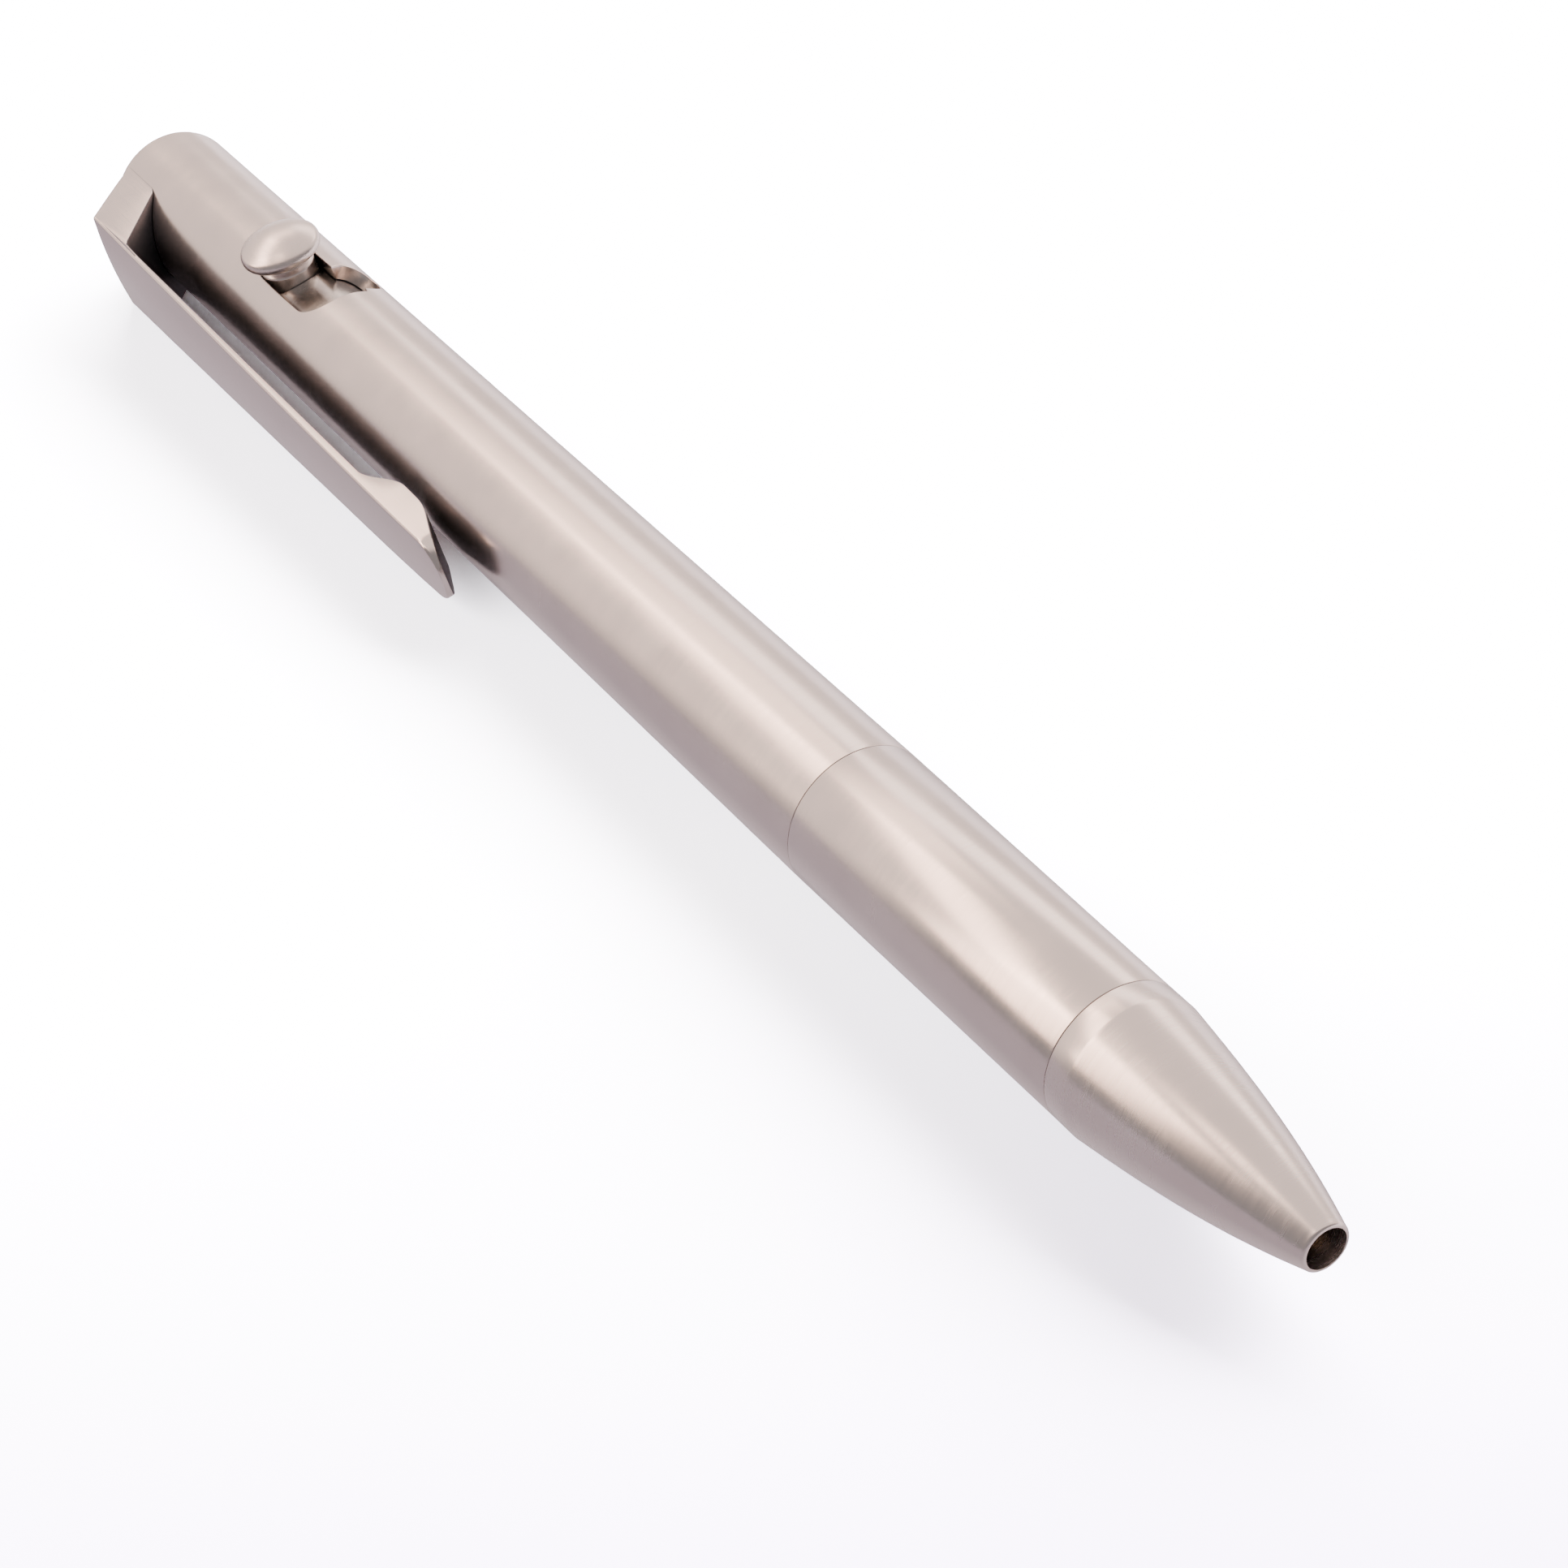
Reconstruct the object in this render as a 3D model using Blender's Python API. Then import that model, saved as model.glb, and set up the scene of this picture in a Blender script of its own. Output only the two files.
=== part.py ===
"""Bolt action pen, lying on its barrel and its clip, point towards +X.

Run it with: blender --background --python part.py
Metres, +Z up. The origin is under the middle of the pen, on the surface that it lies on.
Each piece is made about the pen's own axis, with x counted from the rear end, and hangs on
one empty that lays the pen down.
"""

import itertools
import math

import bmesh
import bpy
from mathutils import Matrix, Vector

# Clearances
SEAT_GAP = 0.0001
RUNNING_GAP = 0.00008
CUT_OVERRUN = 0.001
WELD_DISTANCE = 0.0000001

# Rear barrel
BARREL_RADIUS = 0.0047625
BARREL_REAR_ROUND = 0.00035
BARREL_EDGE_BREAK = 0.00004
BARREL_BORE_RADIUS = 0.00375
BARREL_REAR_WALL = 0.0080

# Bolt slot: one end mill path, straight along the barrel and then round it to the lock seat
SLOT_WIDTH = 0.0040
BOLT_X = 0.0229
BOLT_TRAVEL = 0.0052
BOLT_ANGLE = math.radians(17)
LOCK_TURN = math.radians(34.5)
LOCK_HOOK = 0.0005

# Bolt knob, with heights counted from the pen's axis
KNOB_RADIUS = 0.00287
KNOB_RIM_BOTTOM = 0.00545
KNOB_RIM_TOP = 0.00640
KNOB_CROWN = 0.00070
KNOB_TOP_ROUND = 0.00055
KNOB_UNDER_ROUND = 0.00030
KNOB_WAIST_RADIUS = 0.00142
KNOB_FOOT_TOP = 0.00435
KNOB_FOOT_BOTTOM = 0.00260
KNOB_STUD_RADIUS = 0.00110
KNOB_STUD_BOTTOM = 0.00100

# Plunger, with its lengths counted from the bolt's middle
PLUNGER_REAR_LENGTH = 0.0100
PLUNGER_SEAT_LENGTH = 0.01333
PLUNGER_CUP_DEPTH = 0.0020
PLUNGER_EDGE_BREAK = 0.0003
PLUNGER_RING_INSET = 0.0022

# Rubber rings
RING_CORD_RADIUS = 0.00025
RING_GROOVE_SLACK = 0.00006

# Front barrel and its thread joint, the thread drawn as a plain spigot
FRONT_LENGTH = 0.02458
FRONT_END_RADIUS = 0.004547
FRONT_BORE_RADIUS = 0.00310
FRONT_SPIGOT_RADIUS = 0.00398
FRONT_SPIGOT_LENGTH = 0.0070

# Nose cone
NOSE_LENGTH = 0.01735
NOSE_LAND = 0.00160
NOSE_TIP_RADIUS = 0.00150
NOSE_LIP_ROUND = 0.00022
NOSE_CONE_SHARE = 0.64
NOSE_CURVE_POWER = 2.6
NOSE_SPIGOT_RADIUS = 0.00392
NOSE_SPIGOT_LENGTH = 0.0060
NOSE_BORE_DEPTH = 0.0035
SPRING_ROOM_RADIUS = 0.00245
TIP_BORE_RADIUS = 0.00124
TIP_BORE_LENGTH = 0.0058

# Thread ends
SPIGOT_CHAMFER = 0.00030

# Refill of the common metal kind
REFILL_LENGTH = 0.0981
REFILL_RADIUS = 0.002925
REFILL_WALL = 0.00030
REFILL_PLUG_LENGTH = 0.0040
REFILL_PLUG_INSERT = 0.0030
REFILL_PLUG_HOLLOW_RADIUS = 0.0014
REFILL_PLUG_HOLLOW_DEPTH = 0.0025
CROWN_NOTCHES = 3
CROWN_NOTCH_WIDTH = 0.0008
CROWN_NOTCH_DEPTH = 0.0007
REFILL_SHOULDER_FROM_TIP = 0.0175
REFILL_SHOULDER_LENGTH = 0.0012
REFILL_NECK_RADIUS = 0.00170
REFILL_NECK_LENGTH = 0.0042
REFILL_INSERT_LENGTH = 0.0030
POINT_RADIUS = 0.00115
POINT_LENGTH = 0.0100
POINT_CONE_LENGTH = 0.0013
POINT_END_RADIUS = 0.00046
POINT_TAIL_RADIUS = 0.00070
POINT_TAIL_LENGTH = 0.0020
BALL_RADIUS = 0.00035
BALL_SEAT_GAP = 0.00004
BALL_SEAT_DEPTH = 0.00050
TIP_INSIDE = 0.0024

# Return spring
SPRING_WIRE_RADIUS = 0.00020
SPRING_COIL_RADIUS = 0.00210
SPRING_TURNS = 10
SPRING_END_PITCH = 0.00085
POINTS_PER_TURN = 10

# Clip, with heights counted from the pen's axis in the clip's own direction
CLIP_ANGLE_FROM_BOLT = math.radians(90)
CLIP_OUTER = 0.00765
CLIP_OUTER_LEAN = 0.00018
CLIP_INNER = 0.00703
CLIP_INNER_LEAN = 0.00028
CLIP_CROWN_RADIUS = 0.0300
CLIP_EDGE_ROUND = 0.00020
CLIP_HEAD_WIDTH = 0.0083
CLIP_TIP_WIDTH = 0.0047
CLIP_END = 0.0568
CLIP_REAR = 0.00035
CLIP_FOOT_HEIGHT = 0.0025
CLIP_HEAD_RUN = 0.0038
CLIP_FOOT_LENGTH = 0.00465
CLIP_WINDOW_RUN = 0.0045
CLIP_BEND_ROUND = 0.0006
CLIP_WINDOW_ROUND = 0.0008
CLIP_FOOT_ROUND = 0.0018
CLIP_NUB_DEPTH = 0.00155
CLIP_NUB_RISE = 0.0040
CLIP_NUB_FLAT = 0.0016
CLIP_RAMP_LENGTH = 0.0058
CLIP_RAMP_BEND_SHARE = 0.33
CLIP_END_THICKNESS = 0.00033
CLIP_TIP_DROP = 0.00015
CLIP_EDGE_MOST_SHARE = 0.4
CLIP_TIP_ROUND_SHARE = 0.92

# Clip foot, its mortise and its screw
TENON_START = 0.0028
TENON_LENGTH = 0.0028
TENON_WIDTH = 0.0028
TENON_BOTTOM = 0.0008
TENON_TOP = 0.0052
SCREW_HEIGHT = 0.0022
SCREW_RADIUS = 0.00080
SCREW_HEAD_RADIUS = 0.00145
SCREW_HEAD_LENGTH = 0.0013
SCREW_SOCKET_WIDTH = 0.0013
SCREW_SOCKET_DEPTH = 0.0008
SCREW_SINK = 0.0001

# Shares along the clip's head: how deep its foot is let in, where its foot round ends, and place and crown
HEAD_SUNK_SHARE = 0.2
HEAD_FOOT_SHARE = 0.12
HEAD_SHARES = ((0.5, 0.1), (0.8, 0.5))
BEND_CROWN_SHARE = 0.6

# Facets
ROUND_SEGMENTS = 48
SMALL_SEGMENTS = 32
RING_CORD_SEGMENTS = 6
ARC_STEPS = 3
SHARP_ANGLE = math.radians(30)

# Places worked out from the sizes above
BOLT_RADIUS = SLOT_WIDTH / 2 - RUNNING_GAP
PLUNGER_RADIUS = BARREL_BORE_RADIUS - RUNNING_GAP
CLIP_ANGLE = BOLT_ANGLE + CLIP_ANGLE_FROM_BOLT
REFILL_REAR = BOLT_X + PLUNGER_SEAT_LENGTH + SEAT_GAP
REFILL_TIP = REFILL_REAR + REFILL_LENGTH
PEN_LENGTH = REFILL_TIP + TIP_INSIDE
NOSE_START = PEN_LENGTH - NOSE_LENGTH
FRONT_START = NOSE_START - SEAT_GAP - FRONT_LENGTH
BARREL_LENGTH = FRONT_START - SEAT_GAP
SHOULDER_FRONT = REFILL_TIP - REFILL_SHOULDER_FROM_TIP
SHOULDER_REAR = SHOULDER_FRONT - REFILL_SHOULDER_LENGTH
SPRING_SEAT = PEN_LENGTH - TIP_BORE_LENGTH
PLUNGER_REAR = BOLT_X - PLUNGER_REAR_LENGTH
PLUNGER_FRONT = REFILL_REAR - SEAT_GAP + PLUNGER_CUP_DEPTH
CLIP_TIP_RADIUS = CLIP_TIP_WIDTH / 2 * CLIP_TIP_ROUND_SHARE
CLIP_RAMP_START = CLIP_END - CLIP_RAMP_LENGTH
CLIP_NUB_START = CLIP_RAMP_START - CLIP_NUB_FLAT - CLIP_NUB_RISE
CLIP_WINDOW = CLIP_REAR + CLIP_FOOT_LENGTH + CLIP_WINDOW_RUN
HEAD_SLOPE = math.atan2(CLIP_OUTER - CLIP_FOOT_HEIGHT, CLIP_HEAD_RUN)
WINDOW_SLOPE = math.atan2(CLIP_INNER - CLIP_FOOT_HEIGHT, CLIP_WINDOW_RUN)


def clip_half_width(x):
    """The clip narrows evenly from its head to its tip, which ends almost in a half circle."""
    along = (x - CLIP_REAR) / (CLIP_END - CLIP_REAR)
    half_width = (CLIP_HEAD_WIDTH + (CLIP_TIP_WIDTH - CLIP_HEAD_WIDTH) * along) / 2
    into_tip = min(max(0, x - CLIP_END + CLIP_TIP_RADIUS), CLIP_TIP_RADIUS)
    return half_width - CLIP_TIP_RADIUS + math.sqrt(CLIP_TIP_RADIUS**2 - into_tip**2)


def crown_drop(half_width):
    """How far the crowned face falls from its middle to its edge."""
    return CLIP_CROWN_RADIUS - math.sqrt(CLIP_CROWN_RADIUS**2 - half_width**2)


def clip_edge_round(outer, inner):
    """The clip's edge round, smaller where the clip is thin."""
    return min(CLIP_EDGE_ROUND, math.dist(outer, inner) * CLIP_EDGE_MOST_SHARE)


def resting_clip_angle():
    """The clip's angle from straight up when its lower edge and the barrel touch one surface."""
    angles = []
    for outer, inner, half_width, crown_share, slant_share in clip_stations():
        edge = clip_edge_round(outer, inner)
        drop = BARREL_RADIUS - edge
        fall = (crown_drop(half_width) * crown_share + edge) * math.cos(HEAD_SLOPE * slant_share)
        edge_height = outer[1] - fall
        edge_side = half_width - edge
        reach = math.hypot(edge_height, edge_side)
        if reach > drop:
            angles.append(math.acos(-drop / reach) - math.atan2(edge_side, edge_height))
    return min(angles)


def clear_scene():
    for item in list(bpy.data.objects):
        bpy.data.objects.remove(item, do_unlink=True)


def make_material(name, colour, metallic, roughness):
    material = bpy.data.materials.new(name)
    material.use_nodes = True
    shader = material.node_tree.nodes["Principled BSDF"]
    shader.inputs["Base Color"].default_value = (*colour, 1)
    shader.inputs["Metallic"].default_value = metallic
    shader.inputs["Roughness"].default_value = roughness
    return material


def titanium(name):
    return make_material(name, (0.62, 0.56, 0.51), metallic=1, roughness=0.22)


def add_object(name, data, parent, material=None):
    item = bpy.data.objects.new(name, data)
    bpy.context.scene.collection.objects.link(item)
    item.parent = parent
    if material:
        data.materials.append(material)
    return item


def add_mesh(name, shape, parent, material=None):
    """Closes a bmesh into an object, with its faces pointing out and its rounds shaded smooth."""
    bmesh.ops.remove_doubles(shape, verts=shape.verts, dist=WELD_DISTANCE)
    bmesh.ops.recalc_face_normals(shape, faces=shape.faces)
    mesh = bpy.data.meshes.new(name)
    shape.to_mesh(mesh)
    shape.free()
    mesh.shade_smooth()
    mesh.set_sharp_from_angle(angle=SHARP_ANGLE)
    return add_object(name, mesh, parent, material)


def turned(name, outline, parent, material=None, segments=ROUND_SEGMENTS):
    """Turns a closed outline of (x, radius) points about the x axis."""
    shape = bmesh.new()
    points = [shape.verts.new((x, 0, radius)) for x, radius in outline]
    edges = []
    for start, end in zip(points, points[1:] + points[:1]):
        if start.co.z > 0 or end.co.z > 0:
            edges.append(shape.edges.new((start, end)))
    full_turn = 2 * math.pi
    bmesh.ops.spin(shape, geom=points + edges, axis=(1, 0, 0), angle=full_turn, steps=segments)
    return add_mesh(name, shape, parent, material)


def box(name, low, high, parent, turn=0):
    """A box between two corners, turned about the pen's axis. Height is z and width is y."""
    shape = bmesh.new()
    for corner in itertools.product(*zip(low, high)):
        shape.verts.new(corner)
    bmesh.ops.convex_hull(shape, input=shape.verts)
    item = add_mesh(name, shape, parent)
    item.rotation_euler.x = turn
    return item


def combine(target, other, operation):
    """Keeps a helper as a live Boolean of its target."""
    other.hide_render = True
    other.display_type = "WIRE"
    modifier = target.modifiers.new(other.name, "BOOLEAN")
    modifier.operation = operation
    modifier.solver = "EXACT"
    modifier.object = other


def arc(centre, radius, start, end, steps=ARC_STEPS):
    """Points of an arc between two angles in degrees, ends included."""
    points = []
    for step in range(steps + 1):
        angle = math.radians(start + (end - start) * step / steps)
        points.append((centre[0] + radius * math.cos(angle), centre[1] + radius * math.sin(angle)))
    return points


def ring(name, x, outer_radius, parent, material):
    """A round rubber ring whose outside has the given radius."""
    middle = (x, outer_radius - RING_CORD_RADIUS)
    outline = arc(middle, RING_CORD_RADIUS, 0, 360, RING_CORD_SEGMENTS)[:-1]
    return turned(name, outline, parent, material)


def ring_groove(x, surface_radius, outer_radius):
    """Points of the groove that a ring lies in, from its rear side to its front side."""
    rear = x - RING_CORD_RADIUS - RING_GROOVE_SLACK
    front = x + RING_CORD_RADIUS + RING_GROOVE_SLACK
    bottom = outer_radius - 2 * RING_CORD_RADIUS - RING_GROOVE_SLACK
    return [(rear, surface_radius), (rear, bottom), (front, bottom), (front, surface_radius)]


def slot_outline():
    """The end mill's path as (x, sideways, turn) points, the turn being about the pen's axis."""
    radius = SLOT_WIDTH / 2
    rear_x = BOLT_X - RUNNING_GAP
    front_x = BOLT_X + BOLT_TRAVEL + RUNNING_GAP
    seat_x = front_x - LOCK_HOOK
    steps = 4 * ARC_STEPS
    rim = [(x, side, 0) for x, side in arc((rear_x, 0), radius, 270, 90, steps)]
    rim += [(x, side, 0) for x, side in arc((front_x, 0), radius, 90, 0, steps // 2)]
    turns = [-LOCK_TURN * step / steps for step in range(1, steps)]
    rim += [(front_x + radius, 0, turn) for turn in turns]
    rim += [(x, side, -LOCK_TURN) for x, side in arc((seat_x, 0), radius, 0, -180, steps)]
    rim.append((front_x - radius - LOCK_HOOK / 2, -radius, 0))
    return rim


def slot_cutter(parent):
    """Joins the slot's rim inside the bore to the same rim outside the barrel."""
    shape = bmesh.new()
    loops = []
    for depth in (BARREL_BORE_RADIUS - RUNNING_GAP, BARREL_RADIUS * 2):
        loop = []
        for x, side, turn in slot_outline():
            point = Vector((x, -side, math.sqrt(depth**2 - side**2)))
            point.rotate(Matrix.Rotation(turn + BOLT_ANGLE, 3, "X"))
            loop.append(shape.verts.new(point))
        loops.append(loop)
    inner, outer = loops
    shape.faces.new(inner)
    shape.faces.new(outer)
    for place in range(len(inner)):
        beside = (place + 1) % len(inner)
        shape.faces.new((inner[place], inner[beside], outer[beside], outer[place]))
    return add_mesh("slot_cutter", shape, parent)


def make_rear_barrel(pen):
    socket_radius = FRONT_SPIGOT_RADIUS + RUNNING_GAP
    socket_start = BARREL_LENGTH - FRONT_SPIGOT_LENGTH - SEAT_GAP
    round_middle = (BARREL_REAR_ROUND, BARREL_RADIUS - BARREL_REAR_ROUND)
    outline = [(0, 0)]
    outline += arc(round_middle, BARREL_REAR_ROUND, 180, 90)
    outline += [
        (BARREL_LENGTH - BARREL_EDGE_BREAK, BARREL_RADIUS),
        (BARREL_LENGTH, BARREL_RADIUS - BARREL_EDGE_BREAK),
        (BARREL_LENGTH, socket_radius),
        (socket_start, socket_radius),
        (socket_start, BARREL_BORE_RADIUS),
        (BARREL_REAR_WALL, BARREL_BORE_RADIUS),
        (BARREL_REAR_WALL, 0),
    ]
    barrel = turned("rear_barrel", outline, pen, titanium("barrel_titanium"))
    combine(barrel, slot_cutter(pen), "DIFFERENCE")
    low = (TENON_START - SEAT_GAP, -TENON_WIDTH / 2 - SEAT_GAP, TENON_BOTTOM - SEAT_GAP)
    high = (TENON_START + TENON_LENGTH + SEAT_GAP, TENON_WIDTH / 2 + SEAT_GAP, BARREL_RADIUS + CUT_OVERRUN)
    mortise = box("mortise_cutter", low, high, pen, turn=CLIP_ANGLE)
    combine(barrel, mortise, "DIFFERENCE")
    seat = SCREW_SINK + SCREW_HEAD_LENGTH + SEAT_GAP
    head = SCREW_HEAD_RADIUS + SEAT_GAP
    shank = SCREW_RADIUS + RUNNING_GAP
    hole_end = TENON_START + TENON_LENGTH + SEAT_GAP
    rear = -CUT_OVERRUN
    outline = [(rear, 0), (rear, head), (seat, head), (seat, shank), (hole_end, shank), (hole_end, 0)]
    hole = turned("screw_hole_cutter", outline, pen, segments=SMALL_SEGMENTS)
    hole.location = clip_direction() * SCREW_HEIGHT
    combine(barrel, hole, "DIFFERENCE")


def clip_direction():
    """The way from the pen's axis to the clip."""
    return Vector((0, -math.sin(CLIP_ANGLE), math.cos(CLIP_ANGLE)))


def make_front_barrel(front, rubber):
    spigot_start = FRONT_START - FRONT_SPIGOT_LENGTH
    end = FRONT_START + FRONT_LENGTH
    socket_radius = NOSE_SPIGOT_RADIUS + RUNNING_GAP
    socket_start = end - NOSE_SPIGOT_LENGTH - SEAT_GAP
    ring_x = FRONT_START - 2 * RING_CORD_RADIUS - RING_GROOVE_SLACK
    outline = [
        (spigot_start, FRONT_BORE_RADIUS),
        (spigot_start, FRONT_SPIGOT_RADIUS - SPIGOT_CHAMFER),
        (spigot_start + SPIGOT_CHAMFER, FRONT_SPIGOT_RADIUS),
    ]
    outline += ring_groove(ring_x, FRONT_SPIGOT_RADIUS, FRONT_SPIGOT_RADIUS)
    outline += [
        (FRONT_START, FRONT_SPIGOT_RADIUS),
        (FRONT_START, BARREL_RADIUS - BARREL_EDGE_BREAK),
        (FRONT_START + BARREL_EDGE_BREAK, BARREL_RADIUS),
        (end - BARREL_EDGE_BREAK, FRONT_END_RADIUS),
        (end, FRONT_END_RADIUS - BARREL_EDGE_BREAK),
        (end, socket_radius),
        (socket_start, socket_radius),
        (socket_start, FRONT_BORE_RADIUS),
    ]
    turned("front_barrel", outline, front, titanium("front_titanium"))
    ring("front_joint_ring", ring_x, FRONT_SPIGOT_RADIUS, front, rubber)


def nose_radius(along):
    """The nose's outside, along running from 0 at the end of its land to 1 at its tip."""
    fall = NOSE_CONE_SHARE * along + (1 - NOSE_CONE_SHARE) * along**NOSE_CURVE_POWER
    return FRONT_END_RADIUS + (NOSE_TIP_RADIUS - FRONT_END_RADIUS) * fall


def make_nose(nose, rubber):
    spigot_start = NOSE_START - NOSE_SPIGOT_LENGTH
    curve_start = NOSE_START + NOSE_LAND
    curve_end = PEN_LENGTH - NOSE_LIP_ROUND
    ring_x = NOSE_START - 2 * RING_CORD_RADIUS - RING_GROOVE_SLACK
    bore_end = NOSE_START + NOSE_BORE_DEPTH
    outline = [
        (spigot_start, FRONT_BORE_RADIUS),
        (spigot_start, NOSE_SPIGOT_RADIUS - SPIGOT_CHAMFER),
        (spigot_start + SPIGOT_CHAMFER, NOSE_SPIGOT_RADIUS),
    ]
    outline += ring_groove(ring_x, NOSE_SPIGOT_RADIUS, NOSE_SPIGOT_RADIUS)
    outline += [
        (NOSE_START, NOSE_SPIGOT_RADIUS),
        (NOSE_START, FRONT_END_RADIUS - BARREL_EDGE_BREAK),
        (NOSE_START + BARREL_EDGE_BREAK, FRONT_END_RADIUS),
    ]
    steps = 3 * ARC_STEPS
    for step in range(steps + 1):
        along = step / steps
        outline.append((curve_start + (curve_end - curve_start) * along, nose_radius(along)))
    outline += arc((curve_end, NOSE_TIP_RADIUS - NOSE_LIP_ROUND), NOSE_LIP_ROUND, 60, 0)
    outline += [
        (PEN_LENGTH, TIP_BORE_RADIUS),
        (SPRING_SEAT, TIP_BORE_RADIUS),
        (SPRING_SEAT, SPRING_ROOM_RADIUS),
        (bore_end, SPRING_ROOM_RADIUS),
        (bore_end, FRONT_BORE_RADIUS),
    ]
    turned("nose_cone", outline, nose, titanium("nose_titanium"))
    ring("nose_joint_ring", ring_x, NOSE_SPIGOT_RADIUS, nose, rubber)


def make_plunger(bolt, rubber):
    cup_radius = REFILL_RADIUS + RUNNING_GAP
    cup_bottom = PLUNGER_FRONT - PLUNGER_CUP_DEPTH
    ring_x = PLUNGER_REAR + PLUNGER_RING_INSET
    ring_radius = PLUNGER_RADIUS + RUNNING_GAP / 2
    outline = [
        (PLUNGER_REAR, 0),
        (PLUNGER_REAR, PLUNGER_RADIUS - PLUNGER_EDGE_BREAK),
        (PLUNGER_REAR + PLUNGER_EDGE_BREAK, PLUNGER_RADIUS),
    ]
    outline += ring_groove(ring_x, PLUNGER_RADIUS, ring_radius)
    outline += [
        (PLUNGER_FRONT - PLUNGER_EDGE_BREAK, PLUNGER_RADIUS),
        (PLUNGER_FRONT, PLUNGER_RADIUS - PLUNGER_EDGE_BREAK),
        (PLUNGER_FRONT, cup_radius),
        (cup_bottom, cup_radius),
        (cup_bottom, 0),
    ]
    steel = make_material("plunger_steel", (0.55, 0.53, 0.50), metallic=1, roughness=0.25)
    plunger = turned("bolt_plunger", outline, bolt, steel)
    foot = BOLT_RADIUS + RUNNING_GAP
    stud = KNOB_STUD_RADIUS + RUNNING_GAP
    step = KNOB_FOOT_BOTTOM - SEAT_GAP
    bottom = KNOB_STUD_BOTTOM - SEAT_GAP
    top = PLUNGER_RADIUS + CUT_OVERRUN
    outline = [(top, 0), (top, foot), (step, foot), (step, stud), (bottom, stud), (bottom, 0)]
    hole = turned("stud_hole_cutter", outline, bolt, segments=SMALL_SEGMENTS)
    stand_up(hole)
    combine(plunger, hole, "DIFFERENCE")
    ring("plunger_ring", ring_x, ring_radius, bolt, rubber)


def stand_up(item):
    """Turns a piece that was made along x to stand on the pen's axis under the bolt."""
    upright = Matrix.Rotation(BOLT_ANGLE, 4, "X") @ Matrix.Rotation(math.radians(-90), 4, "Y")
    item.matrix_basis = Matrix.Translation((BOLT_X, 0, 0)) @ upright


def make_knob(bolt):
    """The outline runs up the stud, the foot, the hollow waist and the round-edged head to its crown."""
    outline = [
        (KNOB_STUD_BOTTOM, 0),
        (KNOB_STUD_BOTTOM, KNOB_STUD_RADIUS),
        (KNOB_FOOT_BOTTOM, KNOB_STUD_RADIUS),
        (KNOB_FOOT_BOTTOM, BOLT_RADIUS),
    ]
    steps = 3 * ARC_STEPS
    waist_height = KNOB_RIM_BOTTOM - KNOB_FOOT_TOP
    under_radius = KNOB_RADIUS - KNOB_UNDER_ROUND
    for step in range(steps):
        along = step / steps
        straight = BOLT_RADIUS + (under_radius - BOLT_RADIUS) * along**2
        depth = (BOLT_RADIUS - KNOB_WAIST_RADIUS) * math.sin(math.pi * along) ** 2
        outline.append((KNOB_FOOT_TOP + waist_height * along, straight - depth))
    outline += arc((KNOB_RIM_BOTTOM + KNOB_UNDER_ROUND, under_radius), KNOB_UNDER_ROUND, 165, 90)
    top_radius = KNOB_RADIUS - KNOB_TOP_ROUND
    crown_rise = KNOB_CROWN + KNOB_TOP_ROUND
    crown_radius = (crown_rise**2 + top_radius**2 - KNOB_TOP_ROUND**2) / (2 * KNOB_CROWN)
    edge_angle = math.asin(top_radius / (crown_radius - KNOB_TOP_ROUND))
    round_end = math.degrees(edge_angle)
    outline += arc((KNOB_RIM_TOP - KNOB_TOP_ROUND, top_radius), KNOB_TOP_ROUND, 90, round_end)
    crown_middle = KNOB_RIM_TOP + KNOB_CROWN - crown_radius
    for step in range(1, ARC_STEPS + 1):
        angle = edge_angle * (1 - step / ARC_STEPS)
        outline.append((crown_middle + crown_radius * math.cos(angle), crown_radius * math.sin(angle)))
    knob = turned("bolt_knob", outline, bolt, titanium("knob_titanium"), segments=SMALL_SEGMENTS)
    stand_up(knob)


def clip_inner_height(x):
    """The arm's inner face leans in, rises to the nub, runs flat there, and goes out along the ramp."""
    into_arm = min(max(0, (x - CLIP_WINDOW) / (CLIP_NUB_START - CLIP_WINDOW)), 1)
    into_rise = min(max(0, (x - CLIP_NUB_START) / CLIP_NUB_RISE), 1)
    into_ramp = max(0, (x - CLIP_RAMP_START) / CLIP_RAMP_LENGTH)
    bend = CLIP_RAMP_BEND_SHARE
    climb = into_ramp**2 / (2 * bend) if into_ramp < bend else into_ramp - bend / 2
    nub_height = CLIP_INNER - CLIP_INNER_LEAN - CLIP_NUB_DEPTH
    end_height = CLIP_OUTER - CLIP_OUTER_LEAN - CLIP_TIP_DROP - CLIP_END_THICKNESS
    height = CLIP_INNER - CLIP_INNER_LEAN * into_arm - CLIP_NUB_DEPTH * math.sin(into_rise * math.pi / 2) ** 2
    return height + (end_height - nub_height) * climb / (1 - bend / 2)


def clip_outer_height(x):
    """The arm's outer face leans in evenly, and falls a little more to the tip."""
    into_arm = max(0, (x - CLIP_WINDOW) / (CLIP_END - CLIP_WINDOW))
    into_tip = max(0, (x - CLIP_NUB_START) / (CLIP_END - CLIP_NUB_START))
    return CLIP_OUTER - CLIP_OUTER_LEAN * into_arm - CLIP_TIP_DROP * into_tip**2


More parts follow.
